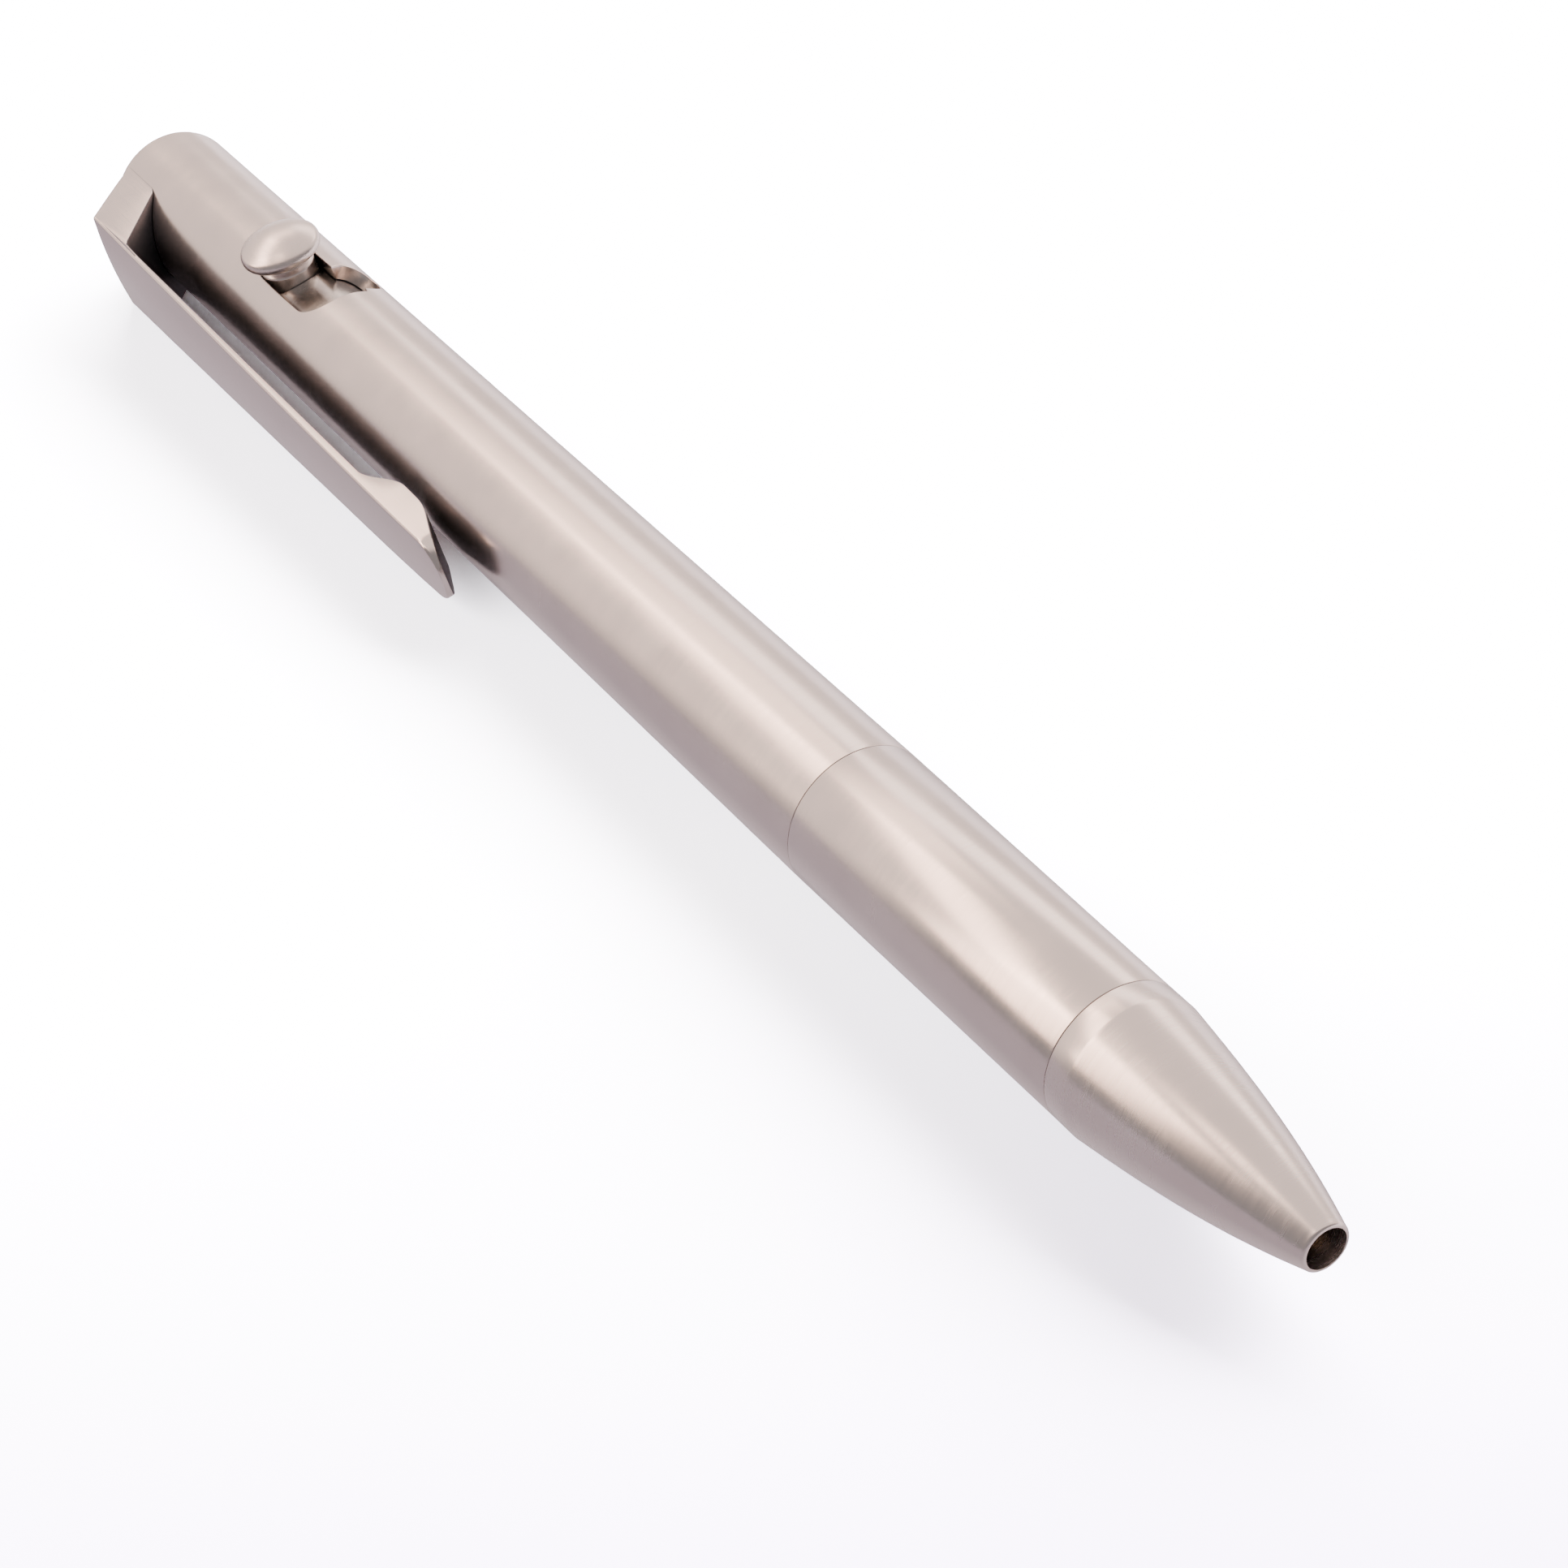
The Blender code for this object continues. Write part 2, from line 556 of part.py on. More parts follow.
def rounded_corner(before, corner, after, radius):
    """Points of a round between two straight lines that meet at a corner."""
    corner = Vector(corner)
    back = (Vector(before) - corner).normalized()
    ahead = (Vector(after) - corner).normalized()
    bend = math.pi - back.angle(ahead)
    middle = corner + (back + ahead).normalized() * (radius / math.cos(bend / 2))
    spoke = corner + back * (radius * math.tan(bend / 2)) - middle
    whole = spoke.angle_signed(corner + ahead * (radius * math.tan(bend / 2)) - middle)
    points = []
    for step in range(ARC_STEPS + 1):
        turned_spoke = spoke.copy()
        turned_spoke.rotate(Matrix.Rotation(-whole * step / ARC_STEPS, 2))
        points.append(middle + turned_spoke)
    return points


def head_stations():
    """The slanted head, from inside the barrel up to the bend and round it, as stations like the arm's."""
    outer_foot = Vector((CLIP_REAR, CLIP_FOOT_HEIGHT))
    outer_corner = (CLIP_REAR + CLIP_HEAD_RUN, CLIP_OUTER)
    inner_foot = Vector((CLIP_REAR + CLIP_FOOT_LENGTH, CLIP_FOOT_HEIGHT))
    window = (CLIP_WINDOW, CLIP_INNER)
    outer_bend = rounded_corner(outer_foot, outer_corner, (CLIP_END, CLIP_OUTER), CLIP_BEND_ROUND)
    inner_bend = rounded_corner(inner_foot, window, (CLIP_END, CLIP_INNER), CLIP_WINDOW_ROUND)
    foot_round = rounded_corner(outer_foot, inner_foot, window, CLIP_FOOT_ROUND)
    half_width = clip_half_width(outer_corner[0])
    sunk = Vector((0, (CLIP_OUTER - CLIP_FOOT_HEIGHT) * HEAD_SUNK_SHARE))
    stations = [(outer_foot.lerp(outer_bend[0], -HEAD_SUNK_SHARE), foot_round[0] - sunk, half_width, 0, 1)]
    for step, inner in enumerate(foot_round):
        outer = outer_foot.lerp(outer_bend[0], HEAD_FOOT_SHARE * step / ARC_STEPS)
        stations.append((outer, inner, half_width, 0, 1))
    for share, crown_share in HEAD_SHARES:
        outer = outer_foot.lerp(outer_bend[0], share)
        stations.append((outer, foot_round[-1].lerp(inner_bend[0], share), half_width, crown_share, 1))
    for step, (outer, inner) in enumerate(zip(outer_bend, inner_bend)):
        along = step / ARC_STEPS
        crown_share = BEND_CROWN_SHARE + (1 - BEND_CROWN_SHARE) * along
        stations.append((outer, inner, clip_half_width(outer.x), crown_share, 1 - along))
    return stations


def arm_stations():
    """The arm, its nub and its tip."""
    rise_end = CLIP_NUB_START + CLIP_NUB_RISE
    ramp_bend = CLIP_RAMP_START + CLIP_RAMP_LENGTH * CLIP_RAMP_BEND_SHARE
    tip_start = CLIP_END - CLIP_TIP_RADIUS
    places = []
    spans = ((CLIP_WINDOW, CLIP_NUB_START, 3), (CLIP_NUB_START, rise_end, 8), (rise_end, CLIP_RAMP_START, 1))
    spans += ((CLIP_RAMP_START, ramp_bend, 3), (ramp_bend, tip_start, 1))
    for start, end, steps in spans:
        places += [start + (end - start) * step / steps for step in range(1, steps + 1)]
    places += [tip_start + CLIP_TIP_RADIUS * math.sin(math.radians(turn)) for turn in range(15, 91, 15)]
    stations = []
    for x in places:
        outer = (x, clip_outer_height(x))
        stations.append((outer, (x, clip_inner_height(x)), clip_half_width(x), 1, 0))
    return stations


def clip_stations():
    """Each is an outer and an inner (x, height) point, a half width, and shares of crown and slant."""
    return head_stations() + arm_stations()


def clip_section(outer, inner, half_width, crown_share, slant_share):
    """One cross section: a rounded bar with a crowned outer face, square to the clip's profile."""
    edge = clip_edge_round(outer, inner)
    inner_edge = edge / 2
    side = half_width - edge
    inner_side = half_width - inner_edge
    edge_height = -crown_drop(half_width) * crown_share - edge
    outer_rim = arc((side, edge_height), edge, 0, 75)
    outer_rim += [(side * share, -crown_drop(side * share) * crown_share) for share in (0.5, 0, -0.5)]
    outer_rim += arc((-side, edge_height), edge, 105, 180)
    near_rim = arc((inner_side, inner_edge), inner_edge, 270, 360)
    far_rim = arc((-inner_side, inner_edge), inner_edge, 180, 270)
    points = []
    for start, turn, rim in (
        (inner, WINDOW_SLOPE, near_rim),
        (outer, HEAD_SLOPE, outer_rim),
        (inner, WINDOW_SLOPE, far_rim),
    ):
        turn = turn * slant_share
        for place, height in rim:
            x = start[0] - height * math.sin(turn)
            points.append(Vector((x, place, start[1] + height * math.cos(turn))))
    return points


def make_clip(pen):
    shape = bmesh.new()
    loops = []
    for station in clip_stations():
        loops.append([shape.verts.new(point) for point in clip_section(*station)])
    for near, far in zip(loops, loops[1:]):
        for place in range(len(near)):
            beside = (place + 1) % len(near)
            shape.faces.new((near[place], near[beside], far[beside], far[place]))
    shape.faces.new(loops[0])
    shape.faces.new(loops[-1])
    clip = add_mesh("clip", shape, pen, titanium("clip_titanium"))
    clip.rotation_euler.x = CLIP_ANGLE
    seat = BARREL_RADIUS + SEAT_GAP
    rear = -BARREL_RADIUS
    front = CLIP_NUB_START
    outline = [(rear, 0), (rear, seat), (front, seat), (front, 0)]
    combine(clip, turned("clip_seat_cutter", outline, pen), "DIFFERENCE")
    low = (TENON_START, -TENON_WIDTH / 2, TENON_BOTTOM)
    high = (TENON_START + TENON_LENGTH, TENON_WIDTH / 2, TENON_TOP)
    combine(clip, box("tenon", low, high, pen, turn=CLIP_ANGLE), "UNION")
    radius = SCREW_RADIUS + RUNNING_GAP
    rear = TENON_START - CUT_OVERRUN
    front = TENON_START + TENON_LENGTH + CUT_OVERRUN
    outline = [(rear, 0), (rear, radius), (front, radius), (front, 0)]
    hole = turned("clip_thread_cutter", outline, pen, segments=SMALL_SEGMENTS)
    hole.location = clip_direction() * SCREW_HEIGHT
    combine(clip, hole, "DIFFERENCE")


def make_clip_screw(pen):
    head_end = SCREW_SINK + SCREW_HEAD_LENGTH
    end = TENON_START + TENON_LENGTH - SEAT_GAP
    outline = [
        (SCREW_SINK, 0),
        (SCREW_SINK, SCREW_HEAD_RADIUS - SCREW_SINK),
        (SCREW_SINK * 2, SCREW_HEAD_RADIUS),
        (head_end, SCREW_HEAD_RADIUS),
        (head_end, SCREW_RADIUS),
        (end, SCREW_RADIUS),
        (end, 0),
    ]
    steel = make_material("screw_steel", (0.30, 0.30, 0.31), metallic=1, roughness=0.35)
    screw = turned("clip_screw", outline, pen, steel, segments=SMALL_SEGMENTS)
    screw.location = clip_direction() * SCREW_HEIGHT
    rear = -CUT_OVERRUN
    front = SCREW_SINK + SCREW_SOCKET_DEPTH
    radius = SCREW_SOCKET_WIDTH / math.sqrt(3)
    outline = [(rear, 0), (rear, radius), (front, radius), (front, 0)]
    socket = turned("screw_socket_cutter", outline, pen, segments=6)
    socket.location = screw.location
    combine(screw, socket, "DIFFERENCE")


def make_refill(refill):
    steel = make_material("refill_steel", (0.66, 0.66, 0.67), metallic=1, roughness=0.3)
    brass = make_material("refill_brass", (0.72, 0.55, 0.26), metallic=1, roughness=0.3)
    plastic = make_material("refill_plastic", (0.04, 0.05, 0.09), metallic=0, roughness=0.45)
    carbide = make_material("ball_carbide", (0.35, 0.35, 0.36), metallic=1, roughness=0.12)
    bore = REFILL_RADIUS - REFILL_WALL
    tube_start = REFILL_REAR + REFILL_PLUG_LENGTH + SEAT_GAP
    tube_end = SHOULDER_REAR - SEAT_GAP
    outline = [(tube_start, bore), (tube_start, REFILL_RADIUS), (tube_end, REFILL_RADIUS), (tube_end, bore)]
    turned("refill_tube", outline, refill, steel)
    make_refill_plug(refill, plastic)
    make_refill_nose(refill, steel)
    make_point(refill, brass)
    outline = arc((REFILL_TIP - BALL_RADIUS, 0), BALL_RADIUS, 180, 0, 2 * ARC_STEPS)
    ball = turned("writing_ball", outline, refill, carbide, segments=SMALL_SEGMENTS // 2)
    ball.data.shade_smooth()


def make_refill_plug(refill, plastic):
    insert = REFILL_RADIUS - REFILL_WALL - RUNNING_GAP
    flange_end = REFILL_REAR + REFILL_PLUG_LENGTH
    hollow_end = REFILL_REAR + REFILL_PLUG_HOLLOW_DEPTH
    end = flange_end + REFILL_PLUG_INSERT
    outline = [
        (REFILL_REAR, REFILL_PLUG_HOLLOW_RADIUS),
        (REFILL_REAR, REFILL_RADIUS),
        (flange_end, REFILL_RADIUS),
        (flange_end, insert),
        (end, insert),
        (end, 0),
        (hollow_end, 0),
        (hollow_end, REFILL_PLUG_HOLLOW_RADIUS),
    ]
    plug = turned("refill_end_plug", outline, refill, plastic, segments=SMALL_SEGMENTS)
    reach = REFILL_RADIUS + CUT_OVERRUN
    low = (REFILL_REAR - CUT_OVERRUN, -reach, -CROWN_NOTCH_WIDTH / 2)
    high = (REFILL_REAR + CROWN_NOTCH_DEPTH, reach, CROWN_NOTCH_WIDTH / 2)
    for number in range(CROWN_NOTCHES):
        turn = math.pi * number / CROWN_NOTCHES
        notch = box(f"crown_notch_cutter_{number + 1}", low, high, refill, turn=turn)
        combine(plug, notch, "DIFFERENCE")


def make_refill_nose(refill, steel):
    insert = REFILL_RADIUS - REFILL_WALL - RUNNING_GAP
    insert_start = SHOULDER_REAR - REFILL_INSERT_LENGTH
    neck_end = SHOULDER_FRONT + REFILL_NECK_LENGTH
    end = REFILL_TIP - POINT_LENGTH - SEAT_GAP
    hole = POINT_TAIL_RADIUS + RUNNING_GAP
    hole_end = end - POINT_TAIL_LENGTH - SEAT_GAP
    outline = [
        (insert_start, 0),
        (insert_start, insert),
        (SHOULDER_REAR, insert),
        (SHOULDER_REAR, REFILL_RADIUS),
        (SHOULDER_FRONT, REFILL_RADIUS),
        (SHOULDER_FRONT, REFILL_NECK_RADIUS),
        (neck_end, REFILL_NECK_RADIUS),
        (end, POINT_RADIUS),
        (end, hole),
        (hole_end, hole),
        (hole_end, 0),
    ]
    turned("refill_nose", outline, refill, steel, segments=SMALL_SEGMENTS)


def make_point(refill, brass):
    start = REFILL_TIP - POINT_LENGTH
    end = REFILL_TIP - BALL_RADIUS
    cone_start = end - POINT_CONE_LENGTH
    seat = BALL_RADIUS + BALL_SEAT_GAP
    seat_bottom = end - BALL_SEAT_DEPTH
    outline = [
        (start - POINT_TAIL_LENGTH, 0),
        (start - POINT_TAIL_LENGTH, POINT_TAIL_RADIUS),
        (start, POINT_TAIL_RADIUS),
        (start, POINT_RADIUS),
        (cone_start, POINT_RADIUS),
        (end, POINT_END_RADIUS),
        (end, seat),
        (seat_bottom, seat),
        (seat_bottom, 0),
    ]
    turned("refill_point", outline, refill, brass, segments=SMALL_SEGMENTS)


def spring_points():
    """A right-hand helix between the refill's shoulder and the nose's seat, its end turns closer together."""
    start = SHOULDER_FRONT + SEAT_GAP + SPRING_WIRE_RADIUS
    length = SPRING_SEAT - SEAT_GAP - SPRING_WIRE_RADIUS - start
    middle_pitch = (length - 2 * SPRING_END_PITCH) / (SPRING_TURNS - 2)
    points = []
    for number in range(SPRING_TURNS * POINTS_PER_TURN + 1):
        turn = number / POINTS_PER_TURN
        end_turns = min(turn, 1) + max(turn - SPRING_TURNS + 1, 0)
        x = start + SPRING_END_PITCH * end_turns + middle_pitch * (turn - end_turns)
        angle = 2 * math.pi * turn
        points.append(Vector((x, SPRING_COIL_RADIUS * math.sin(angle), SPRING_COIL_RADIUS * math.cos(angle))))
    return points


def make_spring(nose):
    points = spring_points()
    half_turn = POINTS_PER_TURN // 2
    gaps = [(a - b).length for place, a in enumerate(points) for b in points[place + half_turn :]]
    print(f"least gap between the spring's turns: {min(gaps) - 2 * SPRING_WIRE_RADIUS:.6f} m")
    curve = bpy.data.curves.new("return_spring", "CURVE")
    curve.dimensions = "3D"
    curve.bevel_depth = SPRING_WIRE_RADIUS
    curve.bevel_resolution = 1
    curve.use_fill_caps = True
    spline = curve.splines.new("POLY")
    spline.points.add(len(points) - 1)
    for point, place in zip(spline.points, points):
        point.co = (*place, 1)
    wire = make_material("spring_wire", (0.60, 0.60, 0.62), metallic=1, roughness=0.2)
    add_object("return_spring", curve, nose, wire)


def make_axis(name, parent=None):
    axis = bpy.data.objects.new(name, None)
    axis.empty_display_size = BARREL_RADIUS
    bpy.context.scene.collection.objects.link(axis)
    axis.parent = parent
    return axis


def lay_down(pen):
    """Rests the pen on its barrel and clip, with the origin under the middle of its box."""
    clip_angle = resting_clip_angle()
    crown_middle = (CLIP_OUTER - CLIP_CROWN_RADIUS) * math.sin(clip_angle)
    near_side = -(crown_middle + CLIP_CROWN_RADIUS)
    pen.rotation_euler.x = clip_angle - CLIP_ANGLE
    pen.location = (-PEN_LENGTH / 2, -(near_side + BARREL_RADIUS) / 2, BARREL_RADIUS)


def main():
    clear_scene()
    pen = make_axis("pen_axis")
    bolt = make_axis("bolt_axis", pen)
    refill = make_axis("refill_axis", pen)
    front = make_axis("front_axis", pen)
    nose = make_axis("nose_axis", front)
    rubber = make_material("ring_rubber", (0.02, 0.02, 0.02), metallic=0, roughness=0.6)
    make_rear_barrel(pen)
    make_front_barrel(front, rubber)
    make_nose(nose, rubber)
    make_clip(pen)
    make_clip_screw(pen)
    make_plunger(bolt, rubber)
    make_knob(bolt)
    make_refill(refill)
    make_spring(nose)
    lay_down(pen)


main()
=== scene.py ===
"""Bolt action pen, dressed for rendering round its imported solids.

Each piece is made about the pen's own axis, with x counted from the rear end, and its mesh is then
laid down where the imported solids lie. All sizes are in metres.
"""

import itertools
import math

import bmesh
import bpy
from bpy.props import FloatProperty, FloatVectorProperty, IntProperty, PointerProperty
from mathutils import Matrix, Vector


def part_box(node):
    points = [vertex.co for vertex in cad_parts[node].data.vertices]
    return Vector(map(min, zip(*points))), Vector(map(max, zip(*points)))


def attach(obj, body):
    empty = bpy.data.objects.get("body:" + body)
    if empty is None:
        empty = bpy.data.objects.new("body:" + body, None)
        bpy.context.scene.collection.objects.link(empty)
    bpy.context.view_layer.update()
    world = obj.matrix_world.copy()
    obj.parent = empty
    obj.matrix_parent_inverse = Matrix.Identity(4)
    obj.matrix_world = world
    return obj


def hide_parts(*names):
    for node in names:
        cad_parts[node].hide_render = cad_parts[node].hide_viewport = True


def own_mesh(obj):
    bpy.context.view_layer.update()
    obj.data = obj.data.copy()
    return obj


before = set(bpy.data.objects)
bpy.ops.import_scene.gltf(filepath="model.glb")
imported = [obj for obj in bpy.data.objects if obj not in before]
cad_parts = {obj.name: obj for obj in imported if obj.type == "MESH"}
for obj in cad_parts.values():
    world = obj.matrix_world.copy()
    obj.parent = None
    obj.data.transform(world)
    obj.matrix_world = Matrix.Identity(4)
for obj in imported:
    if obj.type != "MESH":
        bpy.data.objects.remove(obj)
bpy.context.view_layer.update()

bl_info = {
    "name": "Bolt Action Pen",
    "version": (1, 0, 0),
    "blender": (4, 5, 0),
    "location": "3D Viewport > Sidebar > Pen",
    "description": "Makes a machined metal pen with a side bolt, a milled clip and its refill",
    "category": "Object",
}

# Where the pen lies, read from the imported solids
REAR_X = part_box("rear_barrel")[0].x
AXIS_Y = sum(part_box("front_barrel"), Vector()).y / 2
AXIS_Z = sum(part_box("front_barrel"), Vector()).z / 2
SHARP_ANGLE = math.radians(32)
WELD_DISTANCE = 0.0000002
# A corner that bends less stays sharp, and a round takes at most this share of the shorter side
SOFT_ANGLE = math.radians(25)
SIDE_SHARE = 0.45
EDGE_STEPS = 3
# Points in each turn of a thread, and how quickly it gets its full depth
THREAD_STEPS = 8
THREAD_FADE = 6
# Points along the slot's half rounds and its turn, the nose, the knob's waist and crown, the clip's head and
# its bends, and each turn of the spring
RIM_STEPS = 32
LOCK_STEPS = 24
NOSE_STEPS = 72
WAIST_STEPS = 40
CROWN_STEPS = 24
HEAD_STEPS = 16
BEND_STEPS = 12
WIRE_STEPS = 40
# Shares of the clip's slanted head: how deep it is sunk in, where its foot ends, and its crown at the bend
HEAD_SUNK = 0.2
HEAD_FOOT = 0.12
HEAD_CROWN = 0.6
# Largest edge round on a thin part of the clip, as a share of its thickness
THIN_EDGE = 0.4
# A face of the clip looks back at the barrel when its normal lies this far against the way out; such faces
# get painted shade
LOOKS_BACK = -0.5
# Flats round the spring's wire, and round a screw or a cutter
WIRE_SEGMENTS = 20
SCREW_SEGMENTS = 96
# How far a cutter reaches, as a share of the piece that it cuts
PAST = 1.3
# A corner is on a cylinder when it is this near it and its face looks straight out this much
ON_CYLINDER = 0.000004
ALONG_CYLINDER = 0.995
# The middle of what a noise gives, and how much it changes a metal's roughness
NOISE_LOW, NOISE_HIGH = 0.3, 0.7
CLOUD_SCALE = 260
LINE_GLOSS = 0.03
CLOUD_GLOSS = 0.02
# Roughness added where the clip's inner faces carry painted shade
INNER_SHADE_ROUGHNESS = 0.28
# Each metal's colour, the colour of the shade painted on its inner faces, its roughness, the scales of its
# tool lines along x, y and z, their depth, and how much darker its colour gets. The lines run the way in
# which the scale is small.
METALS = {
    "barrel_titanium": ("titanium", None, 0.23, (9000, 420, 420), 0.0000003, 0.06),
    "front_titanium": ("titanium", None, 0.23, (9000, 420, 420), 0.0000003, 0.06),
    "nose_titanium": ("titanium", None, 0.25, (9000, 420, 420), 0.0000003, 0.06),
    "clip_titanium": ("titanium", "inner_painted_shade", 0.18, (300, 7000, 7000), 0.0000004, 0.06),
    "knob_titanium": ("titanium", None, 0.3, (1500, 1500, 9000), 0.0000008, 0.06),
    "plunger_steel": ("tool_steel", None, 0.24, (7000, 300, 300), 0.0000015, 0.06),
    "screw_steel": ("dark_steel", None, 0.34, (3000, 3000, 3000), 0.000002, 0.3),
    "refill_steel": ("drawn_steel", None, 0.26, (500, 6000, 6000), 0.000001, 0.06),
    "refill_brass": ("brass", None, 0.22, (7000, 400, 400), 0.000001, 0.06),
    "ball_carbide": ("carbide", None, 0.1, (4000, 4000, 4000), 0.0000004, 0.06),
    "spring_wire": ("wire", None, 0.2, (4000, 4000, 4000), 0.0000006, 0.06),
}


def length(name, description, default):
    kept = {"min": 0, "precision": 6, "unit": "LENGTH"}
    return FloatProperty(name=name, description=description, default=default, **kept)


def angle(name, description, degrees):
    return FloatProperty(name=name, description=description, default=math.radians(degrees), subtype="ANGLE")


def share(name, description, default):
    return FloatProperty(name=name, description=description, default=default, min=0, max=1, subtype="FACTOR")


def colour(name, description, default):
    kept = {"min": 0, "max": 1, "subtype": "COLOR"}
    return FloatVectorProperty(name=name, description=description, default=default, **kept)


def coordinates(name, description, default, unit="NONE"):
    return FloatVectorProperty(name=name, description=description, default=default, unit=unit)


def amount(name, description, default):
    return FloatProperty(name=name, description=description, default=default)


def count(name, description, default):
    return IntProperty(name=name, description=description, default=default, min=3)


class PenBodySizes(bpy.types.PropertyGroup):
    """Sizes of the barrels, the nose and their joints."""

    lay_angle: angle("Lay angle", "How far the pen is rolled when it lies on its clip", -11.022592)
    radius: length("Barrel radius", "Outside radius of the straight barrel", 0.0047625)
    rear_round: length("Rear round", "Round at the rear end of the barrel", 0.00035)
    bore: length("Barrel bore", "Radius of the barrel's bore", 0.00375)
    rear_wall: length("Rear wall", "Length of solid metal at the rear end", 0.0080)
    barrel_end: length("Barrel end", "Distance from the rear end to the first seam", 0.0947)
    front_end: length("Front end", "Distance from the rear end to the second seam", 0.11938)
    pen_end: length("Pen end", "Distance from the rear end to the nose's rim", 0.13683)
    front_end_radius: length("Front end radius", "Radius of the front barrel at the second seam", 0.004547)
    front_bore: length("Front bore", "Radius of the bore through both thread ends", 0.00310)
    front_spigot_radius: length("Front thread radius", "Radius of the front barrel's thread", 0.00398)
    front_spigot_length: length("Front thread length", "Length of the front barrel's thread end", 0.0070)
    nose_spigot_radius: length("Nose thread radius", "Radius of the nose's thread", 0.00392)
    nose_spigot_length: length("Nose thread length", "Length of the nose's thread end", 0.0060)
    seam: length("Seam", "Width of the hairline where two pieces meet", 0.00004)
    seat_gap: length("Seat gap", "Space between the seats of two pieces that are screwed together", 0.0001)
    running_gap: length("Running gap", "Space between two pieces that slide or turn", 0.00008)
    edge: length("Edge break", "Round on the turned edges", 0.00003)
    thread_pitch: length("Thread pitch", "Distance between two turns of a joint thread", 0.00050)
    thread_depth: length("Thread depth", "Depth of a joint thread", 0.00022)
    thread_chamfer: length("Thread chamfer", "Chamfer at the start of a thread end", 0.00030)
    cord_radius: length("Ring cord radius", "Radius of a rubber ring's cord", 0.00025)
    groove_slack: length("Ring groove slack", "Space beside a rubber ring in its groove", 0.00006)
    nose_land: length("Nose land", "Straight part of the nose beside the seam", 0.00160)
    nose_tip_radius: length("Nose tip radius", "Radius of the nose at its rim", 0.00150)
    nose_lip: length("Nose lip round", "Round at the nose's rim", 0.00022)
    nose_cone_share: share("Nose cone share", "How much of the nose's taper is a plain cone", 0.64)
    nose_curve_power: amount("Nose curve power", "How late the rest of the taper comes in", 2.6)
    nose_bore_depth: length("Nose bore depth", "Depth of the wide bore past the second seam", 0.0035)
    spring_room: length("Spring room radius", "Radius of the bore that holds the spring", 0.00245)
    tip_bore: length("Tip bore radius", "Radius of the hole for the refill's point", 0.00124)
    tip_bore_length: length("Tip bore length", "Length of that hole", 0.0058)
    segments: count("Segments", "Flats round a large turned piece", 256)
    small_segments: count("Small segments", "Flats round a small turned piece", 128)


class PenBoltSizes(bpy.types.PropertyGroup):
    """Sizes of the slot, the knob and the plunger."""

    slot_width: length("Slot width", "Width of the bolt's slot", 0.0040)
    x: length("Bolt place", "Distance from the rear end to the bolt at rest", 0.0229)
    travel: length("Bolt travel", "How far the bolt slides", 0.0052)
    turn: angle("Bolt angle", "Angle from the top of the pen to the bolt", 17)
    lock_turn: angle("Lock turn", "How far the slot runs round the barrel at its front end", 34.5)
    hook: length("Lock hook", "How far the lock seat reaches back", 0.0005)
    slot_edge: length("Slot edge", "Round on the slot's rim", 0.00009)
    head_radius: length("Head radius", "Radius of the knob's head", 0.00287)
    rim_bottom: length("Rim bottom", "Height of the head's lower edge over the pen's axis", 0.00545)
    rim_top: length("Rim top", "Height of the head's upper edge", 0.00640)
    crown: length("Head crown", "Rise of the head's dome", 0.00070)
    top_round: length("Top round", "Round at the head's upper edge", 0.00055)
    under_round: length("Under round", "Round at the head's lower edge", 0.00030)
    waist: length("Waist radius", "Radius of the hollow waist", 0.00142)
    foot_top: length("Foot top", "Height where the waist begins", 0.00435)
    foot_bottom: length("Foot bottom", "Height of the foot's seat in the plunger", 0.00260)
    stud_radius: length("Stud radius", "Radius of the knob's thread", 0.00110)
    stud_bottom: length("Stud bottom", "Height of the stud's end", 0.00100)
    stud_pitch: length("Stud thread pitch", "Distance between two turns of the knob's thread", 0.00035)
    stud_thread: length("Stud thread depth", "Depth of the knob's thread", 0.00013)
    plunger_rear: length("Plunger rear", "Length of the plunger behind the bolt", 0.0100)
    plunger_seat: length("Plunger seat", "Length from the bolt to the refill's seat", 0.01333)
    cup_depth: length("Cup depth", "Depth of the cup that holds the refill's end", 0.0020)
    edge: length("Plunger edge", "Edge break of the plunger", 0.0003)
    ring_inset: length("Ring inset", "Distance from the plunger's rear end to its ring", 0.0022)


